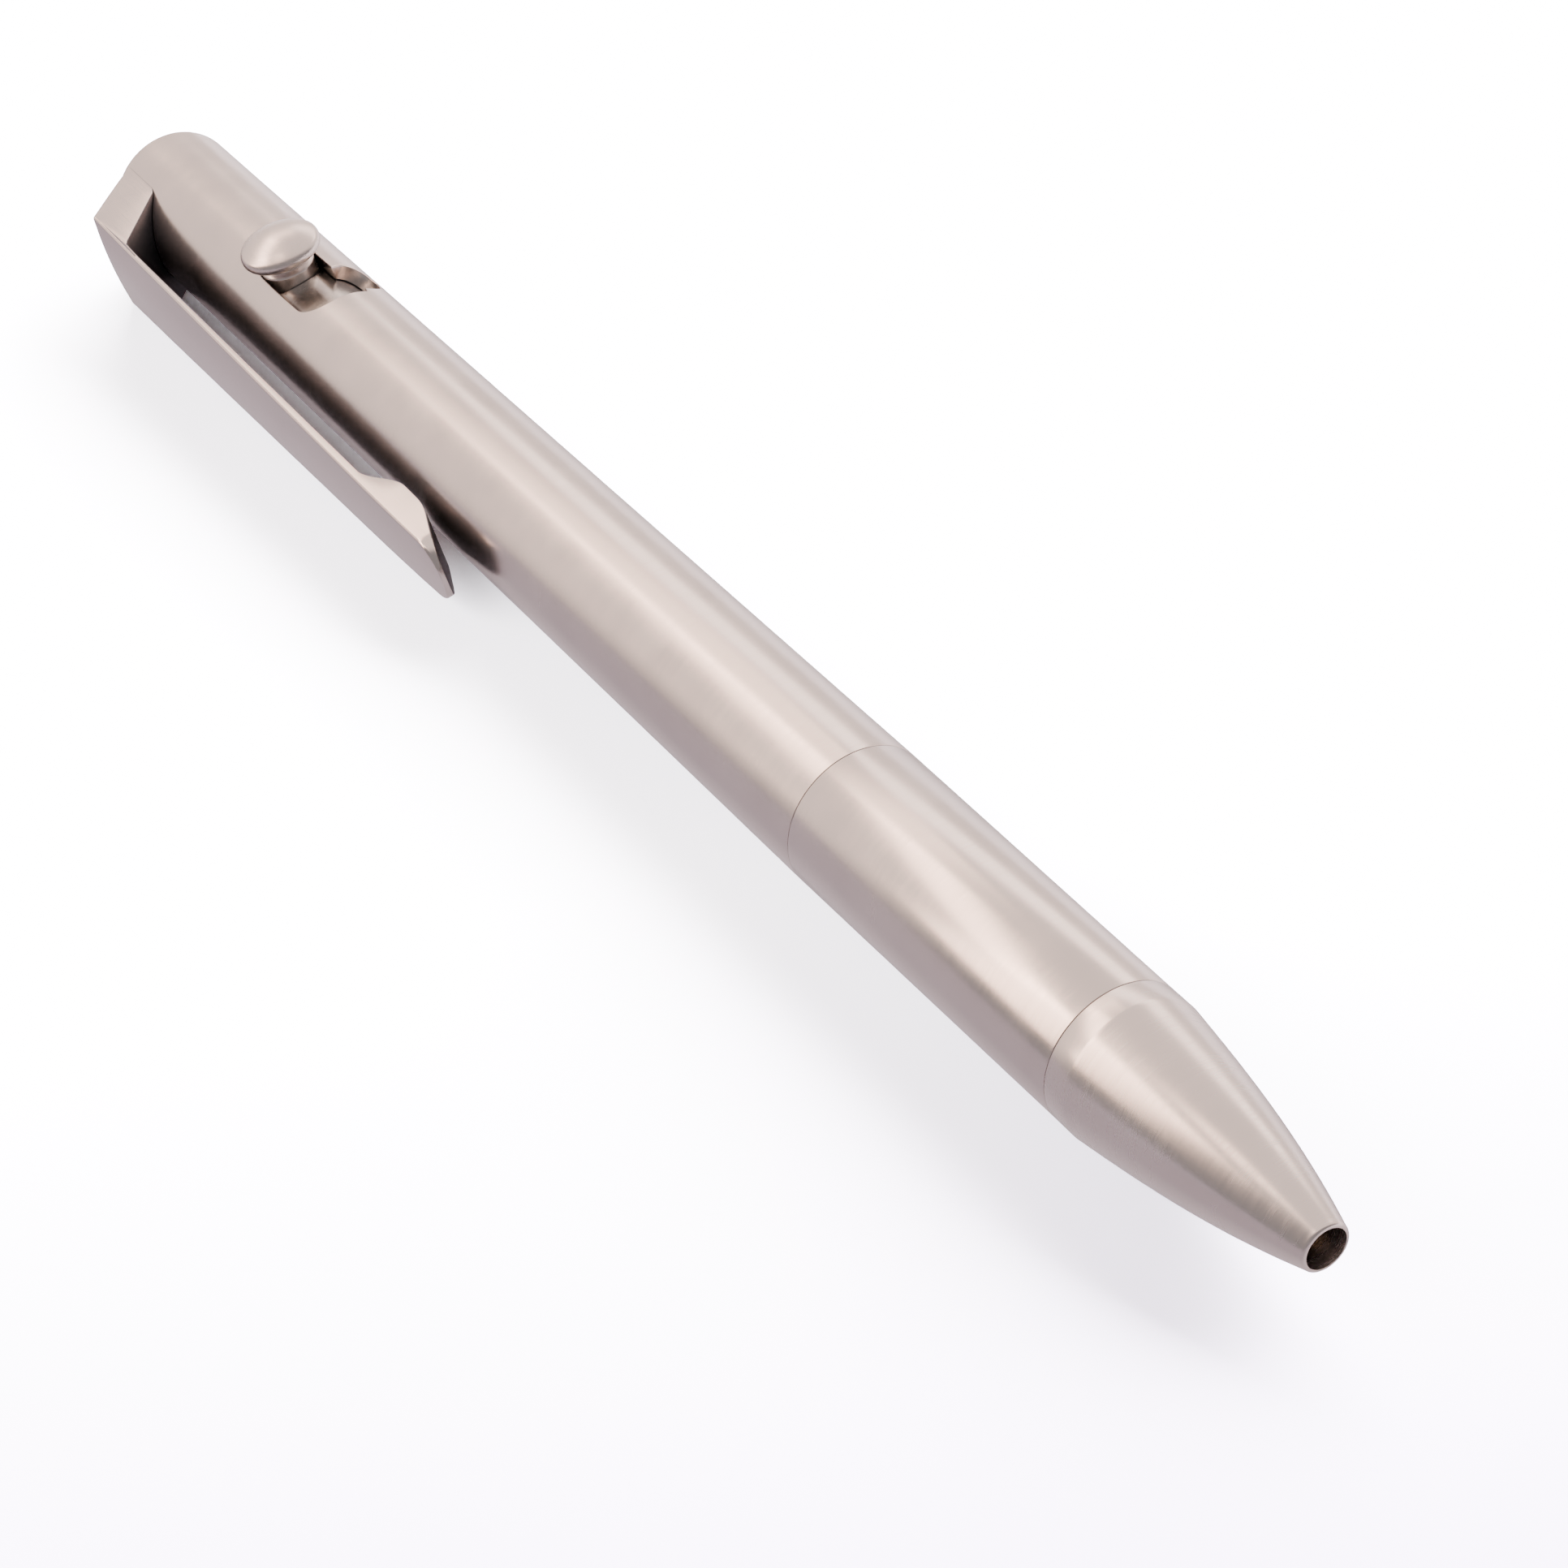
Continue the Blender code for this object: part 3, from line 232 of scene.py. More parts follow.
class PenClipSizes(bpy.types.PropertyGroup):
    """Sizes of the clip, its foot and its screw."""

    turn: angle("Clip angle", "Angle from the top of the pen to the clip", 107)
    outer: length("Outer face", "Height of the clip's outer face over the pen's axis", 0.00765)
    inner: length("Inner face", "Height of the clip's inner face", 0.00703)
    crown_radius: length("Crown radius", "Radius of the outer face across the clip", 0.0300)
    outer_lean: length("Outer lean", "How far the outer face leans in from the bend to the tip", 0.00018)
    inner_lean: length("Inner lean", "How far the inner face leans in from the bend to the nub", 0.00028)
    edge: length("Edge round", "Round on the outer edges", 0.00020)
    inner_edge: length("Inner edge round", "Largest round on the inner edges", 0.00012)
    head_width: length("Head width", "Width of the clip at its head", 0.0083)
    tip_width: length("Tip width", "Width of the clip at its tip", 0.0047)
    end: length("Clip end", "Distance from the rear end to the clip's tip", 0.0568)
    rear: length("Clip rear", "Distance from the rear end to the clip's foot", 0.00035)
    foot_height: length("Foot height", "Height at which the slanted head is measured", 0.0025)
    head_run: length("Head run", "How far forward the slanted outer face runs", 0.0038)
    foot_length: length("Foot length", "Length of the foot on the barrel", 0.00465)
    window_run: length("Window run", "How far forward the slanted inner face runs", 0.0045)
    bend_round: length("Bend round", "Radius of the outer bend", 0.00060)
    window_round: length("Window round", "Radius inside the bend", 0.00080)
    foot_round: length("Foot round", "Round where the inner face meets the barrel", 0.0018)
    nub_depth: length("Nub depth", "How far the nub reaches in", 0.00155)
    nub_rise: length("Nub rise", "Length of the nub's slope", 0.0040)
    nub_flat: length("Nub flat", "Length of the nub's flat", 0.0016)
    ramp: length("Ramp length", "Length of the lead-in ramp", 0.0058)
    ramp_bend: share("Ramp bend", "How much of the ramp curves out of the flat", 0.33)
    end_thickness: length("End thickness", "Thickness at the tip", 0.00033)
    tip_drop: length("Tip drop", "How far the outer face falls to the tip", 0.00015)
    tip_round: share("Tip roundness", "How much of the tip's half width is its corner radius", 0.92)
    tenon_start: length("Tenon start", "Distance from the rear end to the tenon", 0.0028)
    tenon_length: length("Tenon length", "Length of the tenon", 0.0028)
    tenon_width: length("Tenon width", "Width of the tenon", 0.0028)
    tenon_bottom: length("Tenon bottom", "Height of the tenon's end", 0.0008)
    tenon_top: length("Tenon top", "Height up to which the tenon runs into the head", 0.0052)
    screw_height: length("Screw height", "Height of the clip's screw over the pen's axis", 0.0022)
    screw_radius: length("Screw radius", "Radius of the screw's thread", 0.00080)
    screw_head_radius: length("Screw head radius", "Radius of the screw's head", 0.00145)
    screw_head_length: length("Screw head length", "Length of the screw's head", 0.0013)
    screw_pitch: length("Screw pitch", "Distance between two turns of the screw's thread", 0.00032)
    screw_thread: length("Screw thread depth", "Depth of the screw's thread", 0.00012)
    socket_width: length("Socket width", "Width across the flats of the screw's socket", 0.0013)
    socket_depth: length("Socket depth", "Depth of the screw's socket", 0.0008)
    sink: length("Screw sink", "How far the screw's head lies below the rear end", 0.0001)


class PenRefillSizes(bpy.types.PropertyGroup):
    """Sizes of the refill and its spring."""

    length: length("Refill length", "Length from the crowned end to the writing point", 0.0981)
    radius: length("Refill radius", "Outside radius of the ink tube", 0.002925)
    wall: length("Tube wall", "Wall of the ink tube", 0.00030)
    plug: length("Plug length", "Length of the plastic end in sight", 0.0040)
    plug_insert: length("Plug insert", "Length of the plastic end inside the tube", 0.0030)
    hollow_radius: length("Plug hollow radius", "Radius of the hole in the plastic end", 0.0014)
    hollow_depth: length("Plug hollow depth", "Depth of that hole", 0.0025)
    notches: count("Crown notches", "Notches across the plastic end", 3)
    notch_width: length("Notch width", "Width of a notch", 0.0008)
    notch_depth: length("Notch depth", "Depth of a notch", 0.0007)
    shoulder: length("Shoulder place", "Distance from the writing point to the shoulder", 0.0175)
    shoulder_length: length("Shoulder length", "Length of the shoulder", 0.0012)
    neck_radius: length("Neck radius", "Radius of the neck", 0.00170)
    neck_length: length("Neck length", "Length of the neck", 0.0042)
    insert_length: length("Insert length", "Length of the neck piece inside the tube", 0.0030)
    crimp_depth: length("Crimp depth", "Depth of the crimp that holds the neck piece", 0.00006)
    point_radius: length("Point radius", "Radius of the point tube", 0.00115)
    point_length: length("Point length", "Length of the point tube", 0.0100)
    point_cone: length("Point cone", "Length of the point's cone", 0.0013)
    point_end: length("Point end radius", "Radius of the point at the ball", 0.00046)
    tail_radius: length("Tail radius", "Radius of the point's tail", 0.00070)
    tail_length: length("Tail length", "Length of the point's tail", 0.0020)
    ball_radius: length("Ball radius", "Radius of the writing ball", 0.00035)
    ball_gap: length("Ball gap", "Space round the ball in its seat", 0.00004)
    ball_depth: length("Ball seat depth", "Depth of the ball's seat", 0.00050)
    wire_radius: length("Wire radius", "Radius of the spring's wire", 0.00020)
    coil_radius: length("Coil radius", "Radius of the spring to the middle of its wire", 0.00210)
    turns: count("Spring turns", "Turns of the spring", 10)
    end_pitch: length("End pitch", "Pitch of the spring's end turns", 0.00085)


class PenColours(bpy.types.PropertyGroup):
    """Colours of the finishes, the shade painted on the clip and the floors, and the lights."""

    titanium: colour("Titanium", "Satin titanium of the barrels, nose, clip and knob", (0.67, 0.615, 0.58))
    # Painted shade: a dark colour on the clip's inner faces, for the shade between the clip and the barrel
    inner_painted_shade: colour("Clip inner shade", "Shade painted on the clip's inner faces", (0.16, 0.16, 0.18))
    tool_steel: colour("Steel", "Turned steel of the plunger", (0.55, 0.53, 0.50))
    dark_steel: colour("Dark steel", "Blackened steel of the clip's screw", (0.10, 0.10, 0.105))
    drawn_steel: colour("Drawn steel", "Bright steel of the refill", (0.66, 0.66, 0.67))
    brass: colour("Brass", "Turned brass of the refill's point", (0.72, 0.53, 0.24))
    carbide: colour("Carbide", "Polished ball", (0.35, 0.35, 0.36))
    wire: colour("Spring wire", "Bright wire of the spring", (0.60, 0.60, 0.62))
    plastic: colour("Plastic", "Moulded end of the refill", (0.035, 0.045, 0.085))
    rubber: colour("Rubber", "Black rubber of the rings", (0.02, 0.02, 0.02))
    floor: colour("Floor", "Plain pale floor", (0.93, 0.915, 0.95))
    # Painted shade: the floor seen by the camera turns to this darker lilac towards the camera
    floor_front: colour("Floor front", "The floor towards the camera", (0.40, 0.34, 0.49))
    # Painted shade: the mirrored floor is this dark on the clip's side, where the pen's shade falls
    mirrored_near_shade: colour("Near floor", "The floor on the clip's side, as mirrored", (0.28, 0.245, 0.265))
    mirrored_far: colour("Far floor", "The floor behind the pen, as mirrored", (0.93, 0.84, 0.83))
    key_light: colour("Key light", "Warm light on the near side", (1, 0.68, 0.53))
    side_light: colour("Side light", "Light on the far side", (1, 0.78, 0.7))
    floor_light: colour("Floor light", "Light on the floor", (0.98, 0.96, 1))
    tent_near: colour("Near tent", "The tent beside the camera", (0.94, 0.93, 1))
    tent_far: colour("Far tent", "The tent behind the pen", (1, 0.81, 0.75))


class PenStageSettings(bpy.types.PropertyGroup):
    """Camera and light."""

    camera_place: coordinates(
        "Camera place", "Place from the pen's axis and rear end", (0.23475, -0.09136, 0.11986), "LENGTH"
    )
    camera_aim: coordinates("Camera aim", "Direction of the view", (-0.6964, 0.4295, -0.5749))
    camera_side: coordinates("Camera side", "Direction to the right of the picture", (0.5250, 0.8511, 0.0))
    focal_length: amount("Focal length", "Lens for a sensor 36 mm wide, in millimetres", 83.3955)
    floor_size: length("Floor size", "Side of the floor", 3.0)
    light_distance: length("Light distance", "Distance of the lights", 0.8)
    light_aim: length("Light aim", "Where the lights point, along the pen from its middle", 0.04)
    tent_bright: amount("Tent bright", "Brightness of the tent behind the pen", 1.6)
    tent_dark: amount("Tent dark", "Brightness of the tent beside the camera", 0.4)


def pen_matrix(body):
    """Lays a piece down from the pen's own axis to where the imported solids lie."""
    return Matrix.Translation((REAR_X, AXIS_Y, AXIS_Z)) @ Matrix.Rotation(body.lay_angle, 4, "X")


def stand_up(bolt):
    """Turns a piece that was made along x to stand on the pen's axis under the bolt."""
    upright = Matrix.Rotation(bolt.turn, 4, "X") @ Matrix.Rotation(math.radians(-90), 4, "Y")
    return Matrix.Translation((bolt.x, 0, 0)) @ upright


# Outlines


def arc(centre, radius, start, end, steps):
    """Points of an arc between two angles in degrees, ends included."""
    points = []
    for step in range(steps + 1):
        turn = math.radians(start + (end - start) * step / steps)
        points.append((centre[0] + radius * math.cos(turn), centre[1] + radius * math.sin(turn)))
    return points


def filleted(before, corner, after, radius, steps):
    """Points of a round between two straight lines that meet at a corner."""
    corner = Vector(corner)
    back = (Vector(before) - corner).normalized()
    on = (Vector(after) - corner).normalized()
    bend = math.pi - back.angle(on)
    reach = radius * math.tan(bend / 2)
    start = corner + back * reach
    middle = corner + (back + on).normalized() * (radius / math.cos(bend / 2))
    first = start - middle
    whole = first.angle_signed(corner + on * reach - middle)
    points = []
    for step in range(steps + 1):
        spoke = first.copy()
        spoke.rotate(Matrix.Rotation(-whole * step / steps, 2))
        points.append(middle + spoke)
    return points


def softened(outline, radius):
    """Rounds each sharp corner of a closed outline that isn't on the axis or part of a thread."""
    rounded = []
    for place, corner in enumerate(outline):
        here = Vector(corner[:2])
        before = Vector(outline[place - 1][:2])
        after = Vector(outline[(place + 1) % len(outline)][:2])
        bend = math.pi - (before - here).angle(after - here, 0)
        if here.y <= 0 or bend < SOFT_ANGLE or len(corner) > 2:
            rounded.append(corner)
            continue
        room = SIDE_SHARE * min((before - here).length, (after - here).length)
        fitting = min(radius, room / math.tan(bend / 2))
        rounded += [tuple(point) for point in filleted(before, here, after, fitting, EDGE_STEPS)]
    return rounded


def ring_groove(x, surface, outer, body):
    """Points of the groove that a rubber ring lies in, from its rear side to its front side."""
    rear = x - body.cord_radius - body.groove_slack
    front = x + body.cord_radius + body.groove_slack
    bottom = outer - 2 * body.cord_radius - body.groove_slack
    return [(rear, surface), (rear, bottom), (front, bottom), (front, surface)]


def threaded(start, end, radius, pitch, side):
    """Points of a thread from start to end: side is 1 where it is cut into a stud and -1 into a hole."""
    steps = max(THREAD_STEPS, round(abs(end - start) / pitch * THREAD_STEPS))
    points = []
    for step in range(steps + 1):
        along = step / steps
        fade = min(1, THREAD_FADE * along, THREAD_FADE * (1 - along))
        points.append((start + (end - start) * along, radius, side * fade))
    return points


# Geometry node trees


def new_node(tree, kind, feeds=None, **settings):
    """A node with its settings, its inputs fed by links or plain values."""
    node = tree.nodes.new(kind)
    for name, value in settings.items():
        setattr(node, name, value)
    for key, value in (feeds or {}).items():
        feed(tree, node.inputs[key], value)
    return node


def made(tree, kind, feeds=None, **settings):
    """The first output of a new node."""
    return new_node(tree, kind, feeds, **settings).outputs[0]


def feed(tree, target, value):
    """Gives an input socket a link or a plain value."""
    if isinstance(value, bpy.types.NodeSocket):
        tree.links.new(value, target)
    else:
        target.default_value = value


def calc(tree, operation, *values):
    """The output of one math node."""
    return made(tree, "ShaderNodeMath", dict(enumerate(values)), operation=operation)


def new_tree(name, inputs):
    """An empty geometry tree with a geometry output and the named inputs."""
    tree = bpy.data.node_groups.new(name, "GeometryNodeTree")
    tree.interface.new_socket("Geometry", in_out="OUTPUT", socket_type="NodeSocketGeometry")
    for label, kind in {"Geometry": "Geometry", **inputs}.items():
        tree.interface.new_socket(label, in_out="INPUT", socket_type="NodeSocket" + kind)
    return tree, new_node(tree, "NodeGroupInput").outputs


def close_tree(tree, geometry, material):
    """Ends a tree with smooth shading, real geometry and its material."""
    for kind in ("GeometryNodeSetShadeSmooth", "GeometryNodeRealizeInstances"):
        geometry = made(tree, kind, {"Geometry": geometry})
    geometry = made(tree, "GeometryNodeSetMaterial", {"Geometry": geometry, "Material": material})
    new_node(tree, "NodeGroupOutput", {0: geometry})


def round_axis(tree, along, radius, turn):
    """A place at a distance and a turn round the x axis."""
    sideways = calc(tree, "MULTIPLY", radius, calc(tree, "SINE", turn))
    upwards = calc(tree, "MULTIPLY", radius, calc(tree, "COSINE", turn))
    return made(tree, "ShaderNodeCombineXYZ", {0: along, 1: sideways, 2: upwards})


def turning_tree(name):
    """Turns an outline about the x axis, with a helical thread where the outline asks for one."""
    wanted = {"Segments": "Int", "Thread Pitch": "Float", "Thread Depth": "Float", "Material": "Material"}
    tree, given = new_tree(name, wanted)
    outline = given["Geometry"]
    size = new_node(tree, "GeometryNodeAttributeDomainSize", {"Geometry": outline}, component="MESH")
    points = size.outputs["Point Count"]
    columns = calc(tree, "ADD", given["Segments"], 1)
    rows = calc(tree, "ADD", points, 1)
    grid = made(tree, "GeometryNodeMeshGrid", {"Vertices X": rows, "Vertices Y": columns})
    index = made(tree, "GeometryNodeInputIndex")
    row = calc(tree, "FLOOR", calc(tree, "DIVIDE", calc(tree, "ADD", index, 0.5), columns))
    column = calc(tree, "SUBTRACT", index, calc(tree, "MULTIPLY", row, columns))
    on_outline = calc(tree, "FLOORED_MODULO", row, points)

    def sampled(value, kind):
        feeds = {"Geometry": outline, "Value": value, "Index": on_outline}
        return made(tree, "GeometryNodeSampleIndex", feeds, data_type=kind, domain="POINT")

    place = sampled(made(tree, "GeometryNodeInputPosition"), "FLOAT_VECTOR")
    along, _, radius = new_node(tree, "ShaderNodeSeparateXYZ", {0: place}).outputs
    mark = new_node(tree, "GeometryNodeInputNamedAttribute", {"Name": "thread"}, data_type="FLOAT")
    cut = sampled(mark.outputs["Attribute"], "FLOAT")
    around = calc(tree, "DIVIDE", column, given["Segments"])
    phase = calc(tree, "SUBTRACT", calc(tree, "DIVIDE", along, given["Thread Pitch"]), around)
    ridge = calc(tree, "MULTIPLY", calc(tree, "PINGPONG", phase, 0.5), 2)
    depth = calc(tree, "MULTIPLY", calc(tree, "MULTIPLY", ridge, given["Thread Depth"]), cut)
    cut_radius = calc(tree, "SUBTRACT", radius, depth)
    spot = round_axis(tree, along, cut_radius, calc(tree, "MULTIPLY", around, 2 * math.pi))
    moved = made(tree, "GeometryNodeSetPosition", {"Geometry": grid, "Position": spot})
    welded = made(tree, "GeometryNodeMergeByDistance", {"Geometry": moved, "Distance": WELD_DISTANCE})
    close_tree(tree, welded, given["Material"])
    return tree


def winding_tree(name):
    """Winds a wire along the x axis, its end turns closer together."""
    sizes = ("Turns", "Coil Radius", "Wire Radius", "Start", "End Pitch", "Middle Pitch")
    tree, given = new_tree(name, {"Points": "Int", **dict.fromkeys(sizes, "Float"), "Material": "Material"})
    line = made(tree, "GeometryNodeMeshLine", {"Count": given["Points"]}, mode="OFFSET")
    last = calc(tree, "SUBTRACT", given["Points"], 1)
    share_now = calc(tree, "DIVIDE", made(tree, "GeometryNodeInputIndex"), last)
    turn = calc(tree, "MULTIPLY", share_now, given["Turns"])
    final = calc(tree, "MAXIMUM", calc(tree, "ADD", calc(tree, "SUBTRACT", turn, given["Turns"]), 1), 0)
    ends = calc(tree, "ADD", calc(tree, "MINIMUM", turn, 1), final)
    middle = calc(tree, "MULTIPLY", calc(tree, "SUBTRACT", turn, ends), given["Middle Pitch"])
    close = calc(tree, "MULTIPLY", ends, given["End Pitch"])
    along = calc(tree, "ADD", given["Start"], calc(tree, "ADD", close, middle))
    spot = round_axis(tree, along, given["Coil Radius"], calc(tree, "MULTIPLY", turn, 2 * math.pi))
    moved = made(tree, "GeometryNodeSetPosition", {"Geometry": line, "Position": spot})
    path = made(tree, "GeometryNodeMeshToCurve", {0: moved})
    circle = {"Resolution": WIRE_SEGMENTS, "Radius": given["Wire Radius"]}
    section = made(tree, "GeometryNodeCurvePrimitiveCircle", circle, mode="RADIUS")
    feeds = {"Curve": path, "Profile Curve": section, "Fill Caps": True}
    close_tree(tree, made(tree, "GeometryNodeCurveToMesh", feeds), given["Material"])
    return tree


def get_tree(name, maker):
    """Each tree is built once."""
    return bpy.data.node_groups.get(name) or maker(name)


# Meshes


def new_object(name, mesh):
    item = bpy.data.objects.new(name, mesh)
    bpy.context.scene.collection.objects.link(item)
    return item


def with_tree(name, mesh, tree, values):
    """An object with a tree as its modifier, the inputs set through their sockets' identifiers."""
    item = new_object(name, mesh)
    modifier = item.modifiers.new(tree.name, "NODES")
    modifier.node_group = tree
    for socket in tree.interface.items_tree:
        if socket.item_type == "SOCKET" and socket.in_out == "INPUT" and socket.name in values:
            modifier[socket.identifier] = values[socket.name]
    return item


def outline_mesh(name, outline):
    """A closed chain of points, each with how deep the thread is cut there."""
    mesh = bpy.data.meshes.new(name)
    edges = [(place, (place + 1) % len(outline)) for place in range(len(outline))]
    mesh.from_pydata([(point[0], 0, point[1]) for point in outline], edges, [])
    attribute = mesh.attributes.new("thread", "FLOAT", "POINT")
    attribute.data.foreach_set("value", [point[2] if len(point) > 2 else 0 for point in outline])
    return mesh


def turned(name, outline, material, segments, pitch=1.0, depth=0.0):
    """An object turned from a closed outline of (x, radius) points, still with its modifier."""
    values = {"Segments": segments, "Thread Pitch": pitch, "Thread Depth": depth, "Material": material}
    return with_tree(name, outline_mesh(name, outline), get_tree("turned_piece", turning_tree), values)


def solid(item):
    """Makes an object a clean plain body that can be carved or can carve."""
    tidy_mesh(settle(item).data)
    return item


def prism(name, loops):
    """A closed body through loops of points that all have the same count."""
    shape = bmesh.new()
    rings = [[shape.verts.new(point) for point in loop] for loop in loops]
    for near, far in zip(rings, rings[1:]):
        for place in range(len(near)):
            beside = (place + 1) % len(near)
            shape.faces.new((near[place], near[beside], far[beside], far[place]))
    shape.faces.new(rings[0])
    shape.faces.new(rings[-1])
    bmesh.ops.recalc_face_normals(shape, faces=shape.faces)
    mesh = bpy.data.meshes.new(name)
    shape.to_mesh(mesh)
    shape.free()
    return new_object(name, mesh)


def box(name, low, high, edge=0):
    """A box between two corners, its edges rounded where a radius is given."""
    shape = bmesh.new()
    for corner in itertools.product(*zip(low, high)):
        shape.verts.new(corner)
    bmesh.ops.convex_hull(shape, input=shape.verts)
    bmesh.ops.dissolve_limit(shape, angle_limit=0.01, verts=shape.verts, edges=shape.edges)
    if edge:
        bmesh.ops.bevel(shape, geom=shape.edges, offset=edge, segments=3, profile=0.5, affect="EDGES")
    mesh = bpy.data.meshes.new(name)
    shape.to_mesh(mesh)
    shape.free()
    return new_object(name, mesh)


def settle(item):
    """Turns an object's modifiers into plain geometry."""
    bpy.context.view_layer.update()
    graph = bpy.context.evaluated_depsgraph_get()
    mesh = bpy.data.meshes.new_from_object(item.evaluated_get(graph), depsgraph=graph)
    mesh.name = item.name
    item.modifiers.clear()
    item.data = mesh
    return item


def carve(item, cutters, operation="DIFFERENCE"):
    """Cuts or joins helper bodies exactly, and removes them."""
    for cutter in cutters:
        solid(cutter).hide_render = True
        modifier = item.modifiers.new(cutter.name, "BOOLEAN")
        modifier.operation = operation
        modifier.solver = "EXACT"
        modifier.object = cutter
    settle(item)
    for cutter in cutters:
        bpy.data.objects.remove(cutter, do_unlink=True)
    return item


def tidy_mesh(mesh):
    """Merges doubles and points every face out."""
    shape = bmesh.new()
    shape.from_mesh(mesh)
    bmesh.ops.remove_doubles(shape, verts=shape.verts, dist=WELD_DISTANCE)
    bmesh.ops.dissolve_degenerate(shape, edges=shape.edges, dist=WELD_DISTANCE)
    bmesh.ops.recalc_face_normals(shape, faces=shape.faces)
    shape.to_mesh(mesh)
    shape.free()


def smooth_cylinder(mesh, radii):
    """Gives the corners that lie on a cylinder about the x axis its own normals, so that cuts don't show."""
    normals = [corner.vector.copy() for corner in mesh.corner_normals]
    for face in mesh.polygons:
        for place in face.loop_indices:
            spot = mesh.vertices[mesh.loops[place].vertex_index].co
            out = Vector((0, spot.y, spot.z))
            if any(abs(out.length - radius) < ON_CYLINDER for radius in radii):
                out.normalize()
                lean = face.normal.dot(out)
                if abs(lean) > ALONG_CYLINDER:
                    normals[place] = out if lean > 0 else -out
    mesh.normals_split_custom_set(normals)


def finish_piece(item, node, body_name, material, placing, radii=()):
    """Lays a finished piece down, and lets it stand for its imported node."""
    mesh = solid(item).data
    mesh.materials.clear()
    mesh.materials.append(material)
    mesh.shade_smooth()
    mesh.set_sharp_from_angle(angle=SHARP_ANGLE)
    if radii:
        smooth_cylinder(mesh, radii)
    mesh.transform(placing)
    attribute = mesh.attributes.get("thread")
    if attribute:
        mesh.attributes.remove(attribute)
    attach(item, body_name)
    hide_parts(node)
    return item


# Finishes


def new_material(name, colour_now, metallic):
    """A material, its tree and shader, and its object coordinates counted from the pen's axis."""
    material = bpy.data.materials.get(name) or bpy.data.materials.new(name)
    material.use_nodes = True
    tree = material.node_tree
    tree.nodes.clear()
    feeds = {"Base Color": (*colour_now, 1), "Metallic": metallic}
    shader = new_node(tree, "ShaderNodeBsdfPrincipled", feeds)
    new_node(tree, "ShaderNodeOutputMaterial", {"Surface": shader.outputs[0]})
    place = new_node(tree, "ShaderNodeTexCoord").outputs["Object"]
    feeds = {"Vector": place, "Location": (-REAR_X, -AXIS_Y, -AXIS_Z)}
    return material, tree, shader, made(tree, "ShaderNodeMapping", feeds, vector_type="POINT")


def stretched_noise(tree, vector, scales, detail):
    """Noise with its own scale along x, y and z."""
    squeezed = made(tree, "ShaderNodeVectorMath", {0: vector, 1: scales}, operation="MULTIPLY")
    feeds = {"Vector": squeezed, "Scale": 1, "Detail": detail, "Roughness": 0.5}
    return made(tree, "ShaderNodeTexNoise", feeds, noise_dimensions="3D")


def ranged(tree, value, low, high, from_low=NOISE_LOW, from_high=NOISE_HIGH):
    """Spreads a value over a range, a noise unless its own range is given."""
    feeds = {"Value": value, "From Min": from_low, "From Max": from_high, "To Min": low, "To Max": high}
    return made(tree, "ShaderNodeMapRange", feeds)


def tinted(tree, value, first, second):
    """A colour between two, by a value from 0 to 1. The first may be another node's output."""
    first = first if isinstance(first, bpy.types.NodeSocket) else (*first, 1)
    feeds = {"Factor": value, "A": first, "B": (*second, 1)}
    return new_node(tree, "ShaderNodeMix", feeds, data_type="RGBA").outputs["Result"]


def dress(tree, shader, tint, gloss, relief, depth):
    """Gives a shader its colour and roughness, and a fine relief."""
    bump = made(tree, "ShaderNodeBump", {"Height": relief, "Strength": 1, "Distance": depth})
    for key, value in {"Base Color": tint, "Roughness": gloss, "Normal": bump}.items():
        feed(tree, shader.inputs[key], value)


def metal(name, colours):
    """Metal with fine tool lines, and a soft unevenness of colour and gloss.

    Where it has a painted shade colour, the faces that are marked as inner ones are painted dark as shade and
    made rougher."""
    key, painted_shade_key, roughness, scales, line_depth, blotch = METALS[name]
    base = Vector(getattr(colours, key))
    material, tree, shader, vector = new_material(name, base, 1)
    lines = stretched_noise(tree, vector, scales, 3)
    cloud = stretched_noise(tree, vector, (CLOUD_SCALE,) * 3, 3)
    tint = tinted(tree, ranged(tree, cloud, 0, 1), base * (1 - blotch), base)
    line_gloss = ranged(tree, lines, -LINE_GLOSS, LINE_GLOSS)
    gloss = calc(tree, "ADD", line_gloss, ranged(tree, cloud, -CLOUD_GLOSS, CLOUD_GLOSS))
    gloss = calc(tree, "ADD", gloss, roughness)
    # Painted shade: the clip's inner faces, which look back at the barrel, take a dark colour where the shade
    # between clip and barrel falls
    if painted_shade_key:
        marked = {"attribute_type": "GEOMETRY", "attribute_name": "inner"}
        mark = new_node(tree, "ShaderNodeAttribute", **marked).outputs["Fac"]
        tint = tinted(tree, mark, tint, getattr(colours, painted_shade_key))
        gloss = calc(tree, "MULTIPLY_ADD", mark, INNER_SHADE_ROUGHNESS, gloss)
    dress(tree, shader, tint, gloss, lines, line_depth)
    return material


def moulded(name, colour_now, grain_scale, cloud_scale, detail, shades, gloss, depth):
    """Plastic or rubber: its shades follow a cloud, and its gloss and relief follow a fine grain."""
    base = Vector(colour_now)
    material, tree, shader, vector = new_material(name, base, 0)
    grain = stretched_noise(tree, vector, (grain_scale,) * 3, detail)
    cloud = stretched_noise(tree, vector, (cloud_scale,) * 3, detail)
    tint = tinted(tree, ranged(tree, cloud, 0, 1), base * shades[0], base * shades[1])
    dress(tree, shader, tint, ranged(tree, grain, *gloss), grain, depth)
    return material


